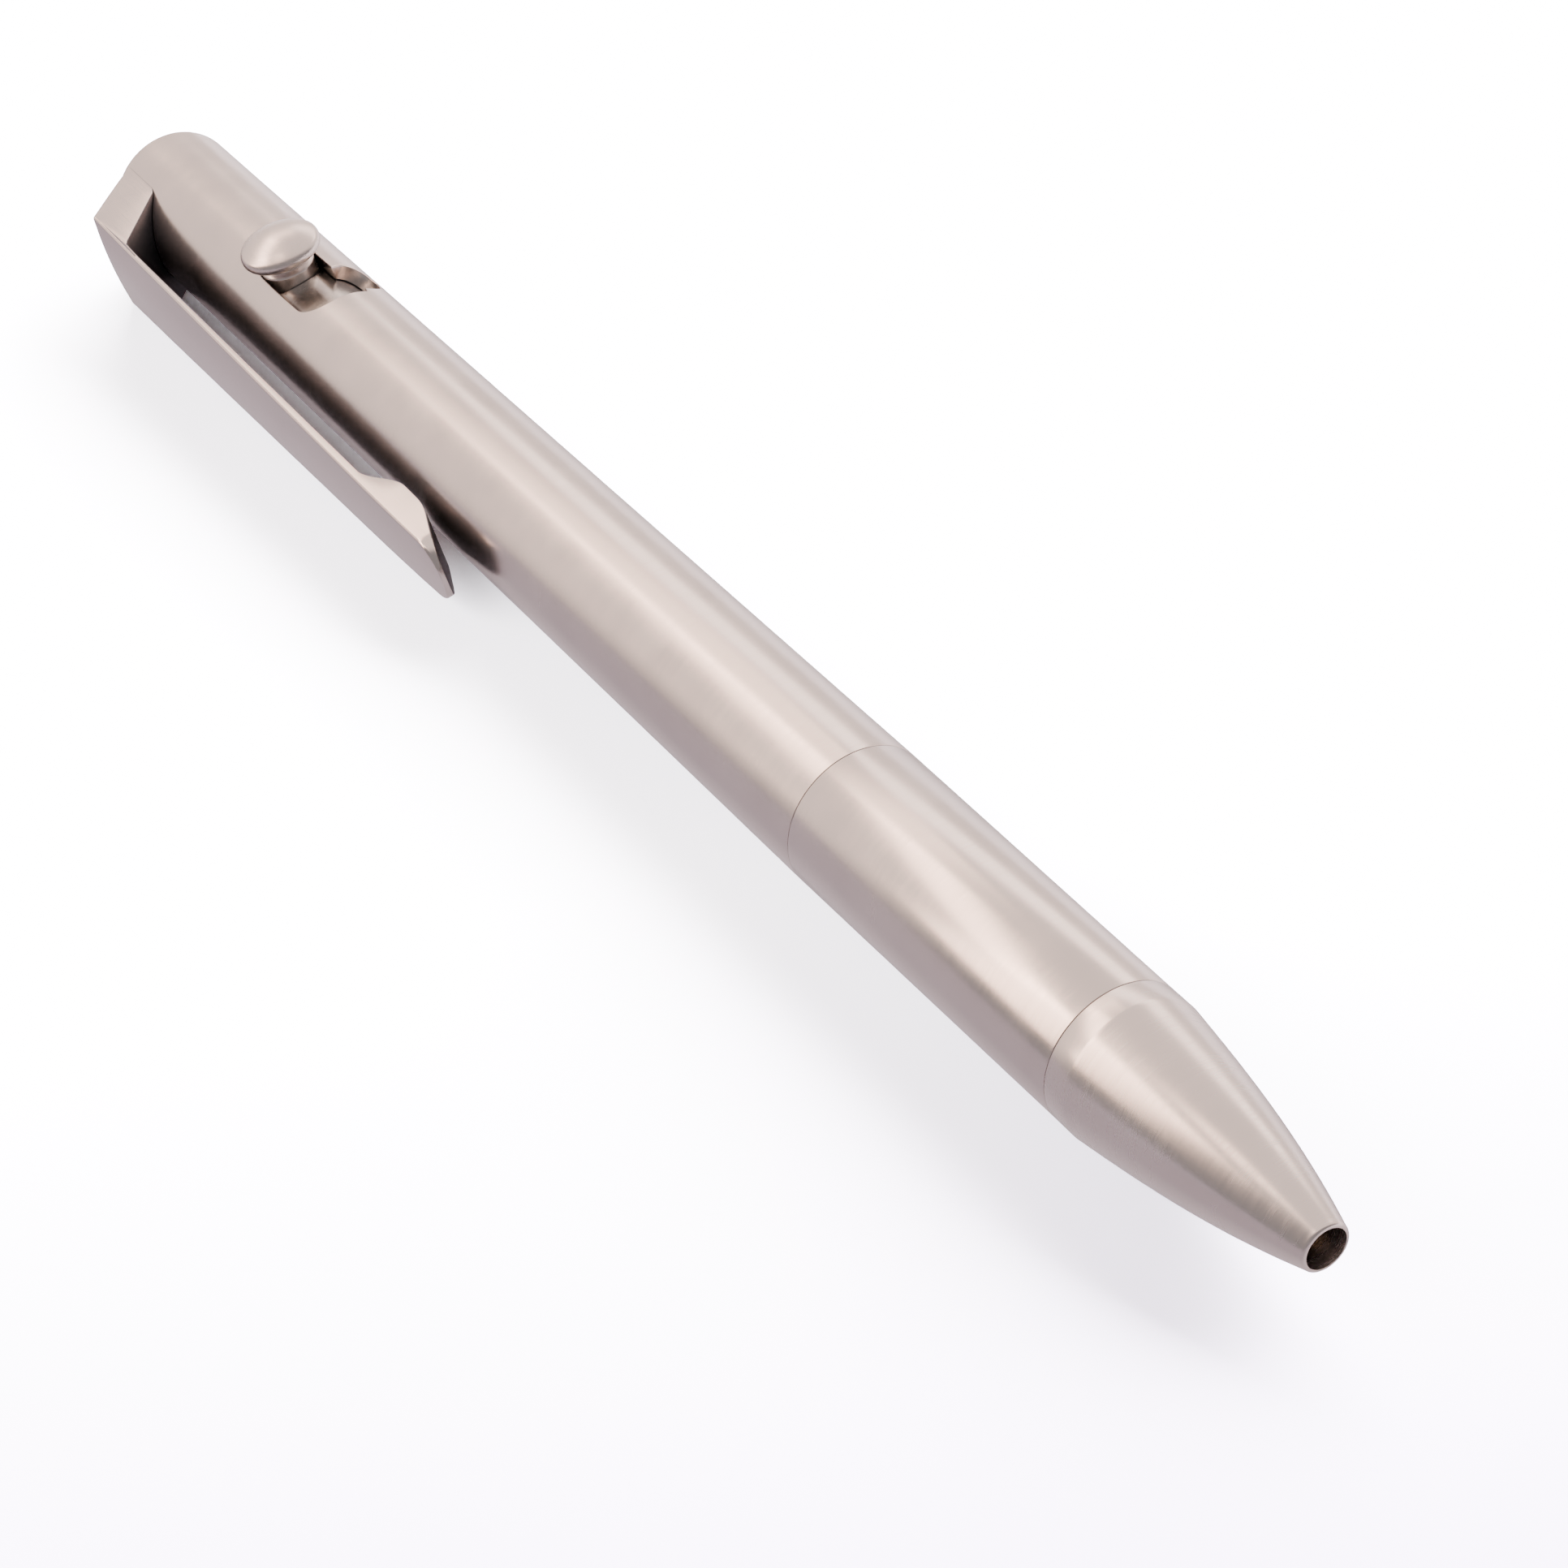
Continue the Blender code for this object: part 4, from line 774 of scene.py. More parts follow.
def floor_surface(name, first, second, way, start, end):
    """A plain matt floor that goes from one colour to another along a direction, between two distances."""
    material, tree, shader, vector = new_material(name, first, 0)
    shader.inputs["Roughness"].default_value = 0.9
    shader.inputs["Specular IOR Level"].default_value = 0
    along = new_node(tree, "ShaderNodeVectorMath", {0: vector, 1: way}, operation="DOT_PRODUCT")
    cloud = ranged(tree, stretched_noise(tree, vector, (30,) * 3, 2), -0.02, 0.02)
    mix = calc(tree, "ADD", ranged(tree, along.outputs["Value"], 0, 1, start, end), cloud)
    feed(tree, shader.inputs["Base Color"], tinted(tree, mix, first, second))
    return material


# Pieces


def joint_thread(body):
    """Segments, pitch and depth of the threads between the barrels and the nose."""
    return body.segments, body.thread_pitch, body.thread_depth


def spigot_outline(body, seam_x, radius, long):
    """A thread end from its bore to its shoulder: chamfer, thread and ring groove."""
    seat = seam_x + body.seat_gap
    start = seat - long
    ring_x = seat - 2 * body.cord_radius - body.groove_slack
    outline = [(start, body.front_bore), (start, radius - body.thread_chamfer)]
    outline += [(start + body.thread_chamfer, radius)]
    thread_start = start + body.thread_chamfer * 1.2
    outline += threaded(thread_start, ring_x - 4 * body.cord_radius, radius, body.thread_pitch, 1)
    return [*outline, *ring_groove(ring_x, radius, radius, body), (seam_x + body.seam, radius)]


def socket_outline(body, seam_x, outer, radius, long, bore):
    """A threaded socket, from the piece's outer edge at the seam to its bore."""
    radius += body.running_gap
    bottom = seam_x - long - body.seat_gap
    outline = [(seam_x, outer), (seam_x, radius)]
    thread_start = seam_x - 4 * body.cord_radius
    outline += threaded(thread_start, bottom + body.thread_pitch, radius, body.thread_pitch, -1)
    return [*outline, (bottom, radius), (bottom, bore)]


def rear_barrel_outline(body):
    middle = (body.rear_round, body.radius - body.rear_round)
    outline = [(0, 0), *arc(middle, body.rear_round, 180, 90, 8)]
    spigot = (body.front_spigot_radius, body.front_spigot_length)
    outline += socket_outline(body, body.barrel_end, body.radius, *spigot, body.bore)
    return softened([*outline, (body.rear_wall, body.bore), (body.rear_wall, 0)], body.edge)


def slot_rim(bolt, running_gap, grow):
    """The end mill's path as (x, sideways, turn) points, grown outwards by a small amount."""
    radius = bolt.slot_width / 2 + grow
    rear_x = bolt.x - running_gap
    front_x = bolt.x + bolt.travel + running_gap
    seat_x = front_x - bolt.hook
    rim = [(x, side, 0) for x, side in arc((rear_x, 0), radius, 270, 90, RIM_STEPS)]
    rim += [(x, side, 0) for x, side in arc((front_x, 0), radius, 90, 0, RIM_STEPS // 2)]
    rim += [(front_x + radius, 0, -bolt.lock_turn * step / LOCK_STEPS) for step in range(1, LOCK_STEPS)]
    rim += [(x, side, -bolt.lock_turn) for x, side in arc((seat_x, 0), radius, 0, -180, RIM_STEPS)]
    rim.append((front_x - radius - bolt.hook / 2, -radius, 0))
    return rim


def slot_cutter(body, bolt):
    """Lofts the slot's rim from inside the bore to outside the barrel, with a round at the rim."""
    levels = [(body.bore - body.running_gap, 0)]
    for turn in range(0, 76, 15):
        rise = math.radians(turn)
        level = body.radius - bolt.slot_edge * (1 - math.sin(rise))
        levels.append((level, bolt.slot_edge * (1 - math.cos(rise))))
    height, grow = levels[-1]
    out = 4 * bolt.slot_edge
    levels.append((height + out * math.cos(rise), grow + out * math.sin(rise)))
    levels.append((body.radius * PAST, grow + out * math.sin(rise)))
    loops = []
    for depth, grow in levels:
        loop = []
        for x, side, turn in slot_rim(bolt, body.running_gap, grow):
            point = Vector((x, -side, math.sqrt(depth**2 - side**2)))
            point.rotate(Matrix.Rotation(turn + bolt.turn, 3, "X"))
            loop.append(point)
        loops.append(loop)
    return prism("slot_cutter", loops)


def clip_way(clip):
    """The way from the pen's axis to the clip."""
    return Vector((0, -math.sin(clip.turn), math.cos(clip.turn)))


def screw_hole_cutter(body, clip):
    seat = clip.sink + clip.screw_head_length + body.seat_gap
    head = clip.screw_head_radius + body.seat_gap
    shank = clip.screw_radius + body.running_gap
    rear = -body.rear_round
    end = clip.tenon_start + clip.tenon_length + body.seat_gap
    flare = head + body.edge * 3
    outline = [(rear, 0), (rear, flare), (0, flare), (body.edge * 3, head), (seat, head)]
    outline += [(seat, shank), (end, shank), (end, 0)]
    cutter = turned("screw_hole_cutter", outline, None, SCREW_SEGMENTS)
    settle(cutter).data.transform(Matrix.Translation(clip_way(clip) * clip.screw_height))
    return cutter


def make_rear_barrel(pen):
    body, clip = pen.body, pen.clip
    material = metal("barrel_titanium", pen.colours)
    barrel = solid(turned("rear_barrel_turned", rear_barrel_outline(body), material, *joint_thread(body)))
    gap = body.seat_gap
    low = (clip.tenon_start - gap, -clip.tenon_width / 2 - gap, clip.tenon_bottom - gap)
    high = (clip.tenon_start + clip.tenon_length + gap, clip.tenon_width / 2 + gap, body.radius * PAST)
    mortise = box("mortise_cutter", low, high)
    mortise.data.transform(Matrix.Rotation(clip.turn, 4, "X"))
    carve(barrel, [slot_cutter(body, pen.bolt), mortise, screw_hole_cutter(body, clip)])
    finish_piece(barrel, "rear_barrel", "barrel", material, pen_matrix(body), (body.radius, body.bore))


def front_barrel_outline(body):
    outline = spigot_outline(body, body.barrel_end, body.front_spigot_radius, body.front_spigot_length)
    outline.append((body.barrel_end + body.seam, body.radius))
    spigot = (body.nose_spigot_radius, body.nose_spigot_length)
    outline += socket_outline(body, body.front_end, body.front_end_radius, *spigot, body.front_bore)
    return softened(outline, body.edge)


def make_front_barrel(pen):
    material = metal("front_titanium", pen.colours)
    outline = front_barrel_outline(pen.body)
    piece = turned("front_barrel_turned", outline, material, *joint_thread(pen.body))
    finish_piece(piece, "front_barrel", "front", material, pen_matrix(pen.body))


def nose_outline(body):
    start = body.front_end + body.seat_gap
    curve_start = start + body.nose_land
    curve_end = body.pen_end - body.nose_lip
    bore_end = start + body.nose_bore_depth
    spring_seat = body.pen_end - body.tip_bore_length
    outline = spigot_outline(body, body.front_end, body.nose_spigot_radius, body.nose_spigot_length)
    outline.append((body.front_end + body.seam, body.front_end_radius))
    outline.append((curve_start - 2 * body.edge, body.front_end_radius))
    for step in range(NOSE_STEPS + 1):
        along = step / NOSE_STEPS
        fall = body.nose_cone_share * along + (1 - body.nose_cone_share) * along**body.nose_curve_power
        radius = body.front_end_radius + (body.nose_tip_radius - body.front_end_radius) * fall
        outline.append((curve_start + (curve_end - curve_start) * along, radius))
    outline += arc((curve_end, body.nose_tip_radius - body.nose_lip), body.nose_lip, 66, 0, 10)
    outline += [(body.pen_end, body.tip_bore), (spring_seat, body.tip_bore), (spring_seat, body.spring_room)]
    outline += [(bore_end, body.spring_room), (bore_end, body.front_bore)]
    return softened(outline, body.edge)


def make_nose(pen):
    material = metal("nose_titanium", pen.colours)
    piece = turned("nose_cone_turned", nose_outline(pen.body), material, *joint_thread(pen.body))
    finish_piece(piece, "nose_cone", "nose", material, pen_matrix(pen.body))


def make_rings(pen):
    """Each ring lies in its groove, and its outside touches the bore round it."""
    body, bolt = pen.body, pen.bolt
    black = ((0.7, 1.6), (0.5, 0.72), 0.000004)
    material = moulded("ring_rubber", pen.colours.rubber, 12000, 12000, 3, *black)
    inset = 2 * body.cord_radius + body.groove_slack
    front_x = body.barrel_end + body.seat_gap - inset
    nose_x = body.front_end + body.seat_gap - inset
    plunger_x = bolt.x - bolt.plunger_rear + bolt.ring_inset
    for name, node, body_name, x, outer in (
        ("front_ring", "front_joint_ring", "front", front_x, body.front_spigot_radius),
        ("nose_ring", "nose_joint_ring", "nose", nose_x, body.nose_spigot_radius),
        ("slider_ring", "plunger_ring", "bolt", plunger_x, body.bore - body.running_gap / 2),
    ):
        outline = arc((x, outer - body.cord_radius), body.cord_radius, 0, 360, 24)[:-1]
        ring = turned(name, outline, material, body.small_segments)
        finish_piece(ring, node, body_name, material, pen_matrix(body))


def make_plunger(pen):
    body, bolt = pen.body, pen.bolt
    material = metal("plunger_steel", pen.colours)
    outer = body.bore - body.running_gap
    rear = bolt.x - bolt.plunger_rear
    seat = bolt.x + bolt.plunger_seat
    front = seat + bolt.cup_depth
    cup = pen.refill.radius + body.running_gap
    outline = [(rear, 0), (rear, outer - bolt.edge), (rear + bolt.edge, outer)]
    outline += ring_groove(rear + bolt.ring_inset, outer, outer + body.running_gap / 2, body)
    outline += [(front - bolt.edge, outer), (front, outer - bolt.edge), (front, cup), (seat, cup), (seat, 0)]
    plunger = solid(turned("plunger_turned", softened(outline, body.edge), material, body.segments))
    foot = bolt.slot_width / 2
    stud = bolt.stud_radius + body.running_gap
    step = bolt.foot_bottom - body.seat_gap
    bottom = bolt.stud_bottom - body.seat_gap
    top = outer * PAST
    outline = [(top, 0), (top, foot), (step, foot), (step, stud), (bottom, stud), (bottom, 0)]
    hole = turned("stud_hole_cutter", outline, material, SCREW_SEGMENTS)
    settle(hole).data.transform(stand_up(bolt))
    carve(plunger, [hole])
    finish_piece(plunger, "bolt_plunger", "bolt", material, pen_matrix(body), (outer,))


def knob_outline(body, bolt):
    """Runs up the stud, the foot, the hollow waist and the round-edged head to its crown."""
    foot = bolt.slot_width / 2 - body.running_gap
    thread_start = bolt.stud_bottom + body.edge * 4
    outline = [(bolt.stud_bottom, 0), (bolt.stud_bottom, bolt.stud_radius - body.edge * 4)]
    outline += threaded(thread_start, bolt.foot_bottom - body.edge * 3, bolt.stud_radius, bolt.stud_pitch, 1)
    outline += [(bolt.foot_bottom, bolt.stud_radius), (bolt.foot_bottom, foot)]
    under = bolt.head_radius - bolt.under_round
    for step in range(WAIST_STEPS):
        along = step / WAIST_STEPS
        depth = (foot - bolt.waist) * math.sin(math.pi * along) ** 2
        x = bolt.foot_top + (bolt.rim_bottom - bolt.foot_top) * along
        outline.append((x, foot + (under - foot) * along**2 - depth))
    outline += arc((bolt.rim_bottom + bolt.under_round, under), bolt.under_round, 165, 90, 8)
    top = bolt.head_radius - bolt.top_round
    crown_radius = ((bolt.crown + bolt.top_round) ** 2 + top**2 - bolt.top_round**2) / (2 * bolt.crown)
    crown_middle = bolt.rim_top + bolt.crown - crown_radius
    edge_turn = math.asin(top / (crown_radius - bolt.top_round))
    outline += arc((bolt.rim_top - bolt.top_round, top), bolt.top_round, 90, math.degrees(edge_turn), 8)
    for step in range(1, CROWN_STEPS + 1):
        turn = edge_turn * (1 - step / CROWN_STEPS)
        outline.append((crown_middle + crown_radius * math.cos(turn), crown_radius * math.sin(turn)))
    return outline


def make_knob(pen):
    body, bolt = pen.body, pen.bolt
    material = metal("knob_titanium", pen.colours)
    thread = (body.small_segments, bolt.stud_pitch, bolt.stud_thread)
    knob = turned("bolt_knob_turned", knob_outline(body, bolt), material, *thread)
    finish_piece(knob, "bolt_knob", "bolt", material, pen_matrix(body) @ stand_up(bolt))


def clip_half_width(clip, x):
    """The clip narrows evenly from its head to its tip, which ends almost in a half circle."""
    along = (x - clip.rear) / (clip.end - clip.rear)
    half_width = (clip.head_width + (clip.tip_width - clip.head_width) * along) / 2
    corner = clip.tip_width / 2 * clip.tip_round
    into_tip = min(max(0, x - clip.end + corner), corner)
    return half_width - corner + math.sqrt(corner**2 - into_tip**2)


def clip_places(clip):
    """Where the window, the nub's slope, its flat, the ramp and the round tip start."""
    ramp_start = clip.end - clip.ramp
    flat_start = ramp_start - clip.nub_flat
    tip_start = clip.end - clip.tip_width / 2 * clip.tip_round
    window = clip.rear + clip.foot_length + clip.window_run
    return window, flat_start - clip.nub_rise, flat_start, ramp_start, tip_start


def clip_inner_height(clip, x):
    """The arm's inner face leans in, rises to the nub, runs flat there, and goes out along the ramp."""
    window, nub_start, _, ramp_start, _ = clip_places(clip)
    into_arm = min(max(0, (x - window) / (nub_start - window)), 1)
    into_rise = min(max(0, (x - nub_start) / clip.nub_rise), 1)
    into_ramp = max(0, (x - ramp_start) / clip.ramp)
    bend = clip.ramp_bend
    climb = into_ramp**2 / (2 * bend) if into_ramp < bend else into_ramp - bend / 2
    nub_height = clip.inner - clip.inner_lean - clip.nub_depth
    end_height = clip.outer - clip.outer_lean - clip.tip_drop - clip.end_thickness
    height = clip.inner - clip.inner_lean * into_arm - clip.nub_depth * math.sin(into_rise * math.pi / 2) ** 2
    return height + (end_height - nub_height) * climb / (1 - bend / 2)


def clip_outer_height(clip, x):
    """The arm's outer face leans in evenly, and falls a little more to the tip."""
    window, nub_start, *_ = clip_places(clip)
    into_arm = max(0, (x - window) / (clip.end - window))
    into_tip = max(0, (x - nub_start) / (clip.end - nub_start))
    return clip.outer - clip.outer_lean * into_arm - clip.tip_drop * into_tip**2


def clip_head_stations(clip):
    """The slanted head, from inside the barrel up to the bend and round it."""
    window = clip_places(clip)[0]
    foot = Vector((clip.rear, clip.foot_height))
    corner = (clip.rear + clip.head_run, clip.outer)
    window_foot = Vector((clip.rear + clip.foot_length, clip.foot_height))
    head_slope = math.atan2(clip.outer - clip.foot_height, clip.head_run)
    window_slope = math.atan2(clip.inner - clip.foot_height, clip.window_run)
    inner_corner = (window, clip.inner)
    outer_bend = filleted(foot, corner, (clip.end, clip.outer), clip.bend_round, BEND_STEPS)
    inner_bend = filleted(window_foot, inner_corner, (clip.end, clip.inner), clip.window_round, BEND_STEPS)
    foot_bend = filleted(foot, window_foot, inner_corner, clip.foot_round, BEND_STEPS)
    half_width = clip_half_width(clip, corner[0])
    slants = (head_slope, window_slope)
    sunk = Vector((0, (clip.outer - clip.foot_height) * HEAD_SUNK))
    stations = [(foot.lerp(outer_bend[0], -HEAD_SUNK), foot_bend[0] - sunk, half_width, 0, *slants)]
    for step, inner in enumerate(foot_bend):
        outer = foot.lerp(outer_bend[0], HEAD_FOOT * step / BEND_STEPS)
        stations.append((outer, inner, half_width, 0, *slants))
    for step in range(1, HEAD_STEPS):
        along = step / HEAD_STEPS
        outer = foot.lerp(outer_bend[0], HEAD_FOOT + (1 - HEAD_FOOT) * along)
        inner = foot_bend[-1].lerp(inner_bend[0], along)
        stations.append((outer, inner, half_width, HEAD_CROWN * along**2, *slants))
    for step, (outer, inner) in enumerate(zip(outer_bend, inner_bend)):
        along = step / BEND_STEPS
        slants = (head_slope * (1 - along), window_slope * (1 - along))
        crown = HEAD_CROWN + (1 - HEAD_CROWN) * along
        stations.append((outer, inner, clip_half_width(clip, outer.x), crown, *slants))
    return stations


def clip_stations(clip):
    """Sections along the clip: outer and inner (x, height) points, half width, crown share, and slants."""
    window, nub_start, flat_start, ramp_start, tip_start = clip_places(clip)
    stations = clip_head_stations(clip)
    tip_radius = clip.end - tip_start
    places = []
    spans = ((window, nub_start, 20), (nub_start, flat_start, 28), (flat_start, ramp_start, 4))
    for start, end, steps in (*spans, (ramp_start, tip_start, 24)):
        places += [start + (end - start) * step / steps for step in range(1, steps + 1)]
    places += [tip_start + tip_radius * math.sin(math.radians(turn)) for turn in range(5, 91, 5)]
    for x in places:
        outer = Vector((x, clip_outer_height(clip, x)))
        inner = Vector((x, clip_inner_height(clip, x)))
        stations.append((outer, inner, clip_half_width(clip, x), 1, 0, 0))
    return stations


def clip_section(clip, outer, inner, half_width, crown_share, outer_slant, inner_slant):
    """One cross section: a bar with a crowned outer face and rounded edges."""

    def drop(side):
        return (clip.crown_radius - math.sqrt(clip.crown_radius**2 - side**2)) * crown_share

    edge = min(clip.edge, (outer - inner).length * THIN_EDGE)
    inner_edge = min(edge / 2, clip.inner_edge)
    side = half_width - edge
    inner_side = half_width - inner_edge
    low = -drop(side) - edge
    outer_rim = arc((side, low), edge, 0, 84, 8)
    outer_rim += [(side * (1 - step / 8), -drop(side * (1 - step / 8))) for step in range(1, 16)]
    outer_rim += arc((-side, low), edge, 96, 180, 8)
    near_rim = arc((inner_side, inner_edge), inner_edge, 270, 360, 4)
    far_rim = arc((-inner_side, inner_edge), inner_edge, 180, 270, 4)
    points = []
    for start, turn, rim in (
        (inner, inner_slant, near_rim),
        (outer, outer_slant, outer_rim),
        (inner, inner_slant, far_rim),
    ):
        for place, height in rim:
            lifted = (start.x - height * math.sin(turn), place, start.y + height * math.cos(turn))
            points.append(Vector(lifted))
    return points


def mark_inner_faces(mesh, outward):
    """Marks the faces that look back at the barrel, on which the material paints shade."""
    shares = [1.0 if face.normal.dot(outward) < LOOKS_BACK else 0.0 for face in mesh.polygons]
    mesh.attributes.new("inner", "FLOAT", "FACE").data.foreach_set("value", shares)


def make_clip(pen):
    body, clip = pen.body, pen.clip
    material = metal("clip_titanium", pen.colours)
    piece = prism("clip_milled", [clip_section(clip, *station) for station in clip_stations(clip)])
    seat = body.radius + body.seam
    front = clip_places(clip)[1]
    outline = [(-body.radius, 0), (-body.radius, seat), (front, seat), (front, 0)]
    carve(piece, [turned("clip_seat_cutter", outline, material, body.segments)])
    low = (clip.tenon_start, -clip.tenon_width / 2, clip.tenon_bottom)
    high = (clip.tenon_start + clip.tenon_length, clip.tenon_width / 2, clip.tenon_top)
    carve(piece, [box("tenon", low, high)], "UNION")
    radius = clip.screw_radius + body.running_gap
    rear = clip.tenon_start - body.seat_gap * 2
    end = clip.tenon_start + clip.tenon_length + body.seat_gap * 2
    hole = turned("clip_thread_cutter", [(rear, 0), (rear, radius), (end, radius), (end, 0)], material, 64)
    settle(hole).data.transform(Matrix.Translation((0, 0, clip.screw_height)))
    carve(piece, [hole])
    placing = pen_matrix(body) @ Matrix.Rotation(clip.turn, 4, "X")
    finish_piece(piece, "clip", "barrel", material, placing)
    # The inner faces are marked for the painted shade in the clip's material
    mark_inner_faces(piece.data, placing.to_3x3() @ Vector((0, 0, 1)))


def make_clip_screw(pen):
    body, clip = pen.body, pen.clip
    material = metal("screw_steel", pen.colours)
    head_end = clip.sink + clip.screw_head_length
    end = clip.tenon_start + clip.tenon_length - body.seat_gap
    head, radius = clip.screw_head_radius, clip.screw_radius
    outline = [(clip.sink, 0), (clip.sink, head - body.edge * 4), (clip.sink + body.edge * 4, head)]
    outline += [(head_end, head), (head_end, radius)]
    outline += threaded(head_end + body.edge, end - body.edge * 3, radius, clip.screw_pitch, 1)
    outline += [(end, radius - body.edge * 3), (end, 0)]
    thread = (SCREW_SEGMENTS, clip.screw_pitch, clip.screw_thread)
    screw = solid(turned("clip_screw_finished", softened(outline, body.edge), material, *thread))
    reach = clip.socket_width / math.sqrt(3)
    front = clip.sink + clip.socket_depth
    outline = [(-clip.sink, 0), (-clip.sink, reach), (front, reach), (front + reach / 3, 0)]
    carve(screw, [turned("screw_socket_cutter", outline, material, 6)])
    placing = pen_matrix(body) @ Matrix.Translation(clip_way(clip) * clip.screw_height)
    finish_piece(screw, "clip_screw", "barrel", material, placing)


def refill_places(pen):
    """Where the refill's rear end, its shoulder's two sides, its point tube and its tip lie."""
    refill = pen.refill
    rear = pen.bolt.x + pen.bolt.plunger_seat + pen.body.seat_gap
    tip = rear + refill.length
    shoulder_front = tip - refill.shoulder
    return rear, shoulder_front - refill.shoulder_length, shoulder_front, tip - refill.point_length, tip


def refill_tube_outline(pen):
    """The tube is crimped on the neck piece inside it."""
    body, refill = pen.body, pen.refill
    rear, shoulder_rear, *_ = refill_places(pen)
    bore = refill.radius - refill.wall
    start, end = rear + refill.plug + body.seat_gap, shoulder_rear - body.seat_gap
    crimp = shoulder_rear - refill.insert_length / 2
    dent = refill.crimp_depth
    outline = [(start, bore), (start, refill.radius), (crimp - 5 * dent, refill.radius)]
    outline += [(crimp - 2 * dent, refill.radius - dent), (crimp + 2 * dent, refill.radius - dent)]
    outline += [(crimp + 5 * dent, refill.radius), (end, refill.radius), (end, bore)]
    return softened(outline, body.edge)


def insert_radius(pen):
    """What is pushed into the tube clears its bore."""
    return pen.refill.radius - pen.refill.wall - pen.body.running_gap


def refill_plug(pen, material):
    """The plastic end with its hollow and its crown of notches."""
    body, refill = pen.body, pen.refill
    rear = refill_places(pen)[0]
    insert = insert_radius(pen)
    flange_end = rear + refill.plug
    end = flange_end + refill.plug_insert
    outline = [(rear, refill.hollow_radius), (rear, refill.radius), (flange_end, refill.radius)]
    outline += [(flange_end, insert), (end, insert), (end, 0)]
    outline += [(rear + refill.hollow_depth, 0), (rear + refill.hollow_depth, refill.hollow_radius)]
    outline = softened(outline, 2 * body.edge)
    plug = solid(turned("refill_plug_moulded", outline, material, body.small_segments))
    reach = refill.radius * PAST
    low = (rear - refill.notch_depth, -reach, -refill.notch_width / 2)
    high = (rear + refill.notch_depth, reach, refill.notch_width / 2)
    for number in range(refill.notches):
        notch = box(f"crown_notch_cutter_{number + 1}", low, high)
        notch.data.transform(Matrix.Rotation(math.pi * number / refill.notches, 4, "X"))
        carve(plug, [notch])
    return plug


def refill_nose_outline(pen):
    """The neck piece: an insert in the tube, the shoulder for the spring, the neck and the point's seat."""
    body, refill = pen.body, pen.refill
    _, shoulder_rear, shoulder_front, point_start, _ = refill_places(pen)
    insert = insert_radius(pen)
    end = point_start - body.seat_gap
    hole = refill.tail_radius + body.running_gap
    hole_end = end - refill.tail_length - body.seat_gap
    neck_end = shoulder_front + refill.neck_length
    insert_start = shoulder_rear - refill.insert_length
    outline = [(insert_start, 0), (insert_start, insert), (shoulder_rear, insert)]
    outline += [(shoulder_rear, refill.radius), (shoulder_front, refill.radius)]
    outline += [(shoulder_front, refill.neck_radius), (neck_end, refill.neck_radius)]
    outline += [(end, refill.point_radius), (end, hole), (hole_end, hole), (hole_end, 0)]
    return softened(outline, body.edge)


def refill_point_outline(pen):
    """The point tube, its cone, its tail in the neck piece and the ball's seat."""
    refill = pen.refill
    *_, start, tip = refill_places(pen)
    end = tip - refill.ball_radius
    seat = refill.ball_radius + refill.ball_gap
    tail = start - refill.tail_length
    bottom = end - refill.ball_depth
    outline = [(tail, 0), (tail, refill.tail_radius), (start, refill.tail_radius)]
    outline.append((start, refill.point_radius))
    outline += [(end - refill.point_cone, refill.point_radius), (end, refill.point_end)]
    outline += [(end, seat), (bottom, seat), (bottom, 0)]
    return softened(outline, pen.body.edge / 2)


def ball_outline(pen):
    """Half a circle whose ends lie exactly on the axis."""
    radius = pen.refill.ball_radius
    outline = arc((refill_places(pen)[-1] - radius, 0), radius, 180, 0, 24)
    return [(outline[0][0], 0), *outline[1:-1], (outline[-1][0], 0)]


def make_refill(pen):
    segments = pen.body.small_segments
    wanted = ("refill_steel", "refill_brass", "ball_carbide")
    steel, brass, carbide = [metal(name, pen.colours) for name in wanted]
    grain = ((0.8, 1.25), (0.36, 0.5), 0.000002)
    plastic = moulded("refill_plastic", pen.colours.plastic, 9000, 700, 2, *grain)
    for node, piece, material in (
        ("refill_tube", turned("refill_tube_drawn", refill_tube_outline(pen), steel, segments), steel),
        ("refill_end_plug", refill_plug(pen, plastic), plastic),
        ("refill_nose", turned("refill_nose_turned", refill_nose_outline(pen), steel, segments), steel),
        ("refill_point", turned("refill_point_turned", refill_point_outline(pen), brass, segments), brass),
        ("writing_ball", turned("writing_ball_polished", ball_outline(pen), carbide, 48), carbide),
    ):
        finish_piece(piece, node, "refill", material, pen_matrix(pen.body))


def make_spring(pen):
    body, refill = pen.body, pen.refill
    material = metal("spring_wire", pen.colours)
    start = refill_places(pen)[-1] - refill.shoulder + body.seat_gap + refill.wire_radius
    end = body.pen_end - body.tip_bore_length - body.seat_gap - refill.wire_radius
    values = {
        "Points": refill.turns * WIRE_STEPS + 1,
        "Turns": float(refill.turns),
        "Coil Radius": refill.coil_radius,
        "Wire Radius": refill.wire_radius,
        "Start": start,
        "End Pitch": refill.end_pitch,
        "Middle Pitch": (end - start - 2 * refill.end_pitch) / (refill.turns - 2),
        "Material": material,
    }
    name = "return_spring_wound"
    spring = with_tree(name, bpy.data.meshes.new(name), get_tree("wound_spring", winding_tree), values)
    finish_piece(spring, "return_spring", "nose", material, pen_matrix(body))
    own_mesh(spring)


# Stage


def aim(place, target):
    """A matrix that stands at one point and looks at another."""
    way = Vector(target) - Vector(place)
    return Matrix.Translation(place) @ way.to_track_quat("-Z", "Y").to_matrix().to_4x4()


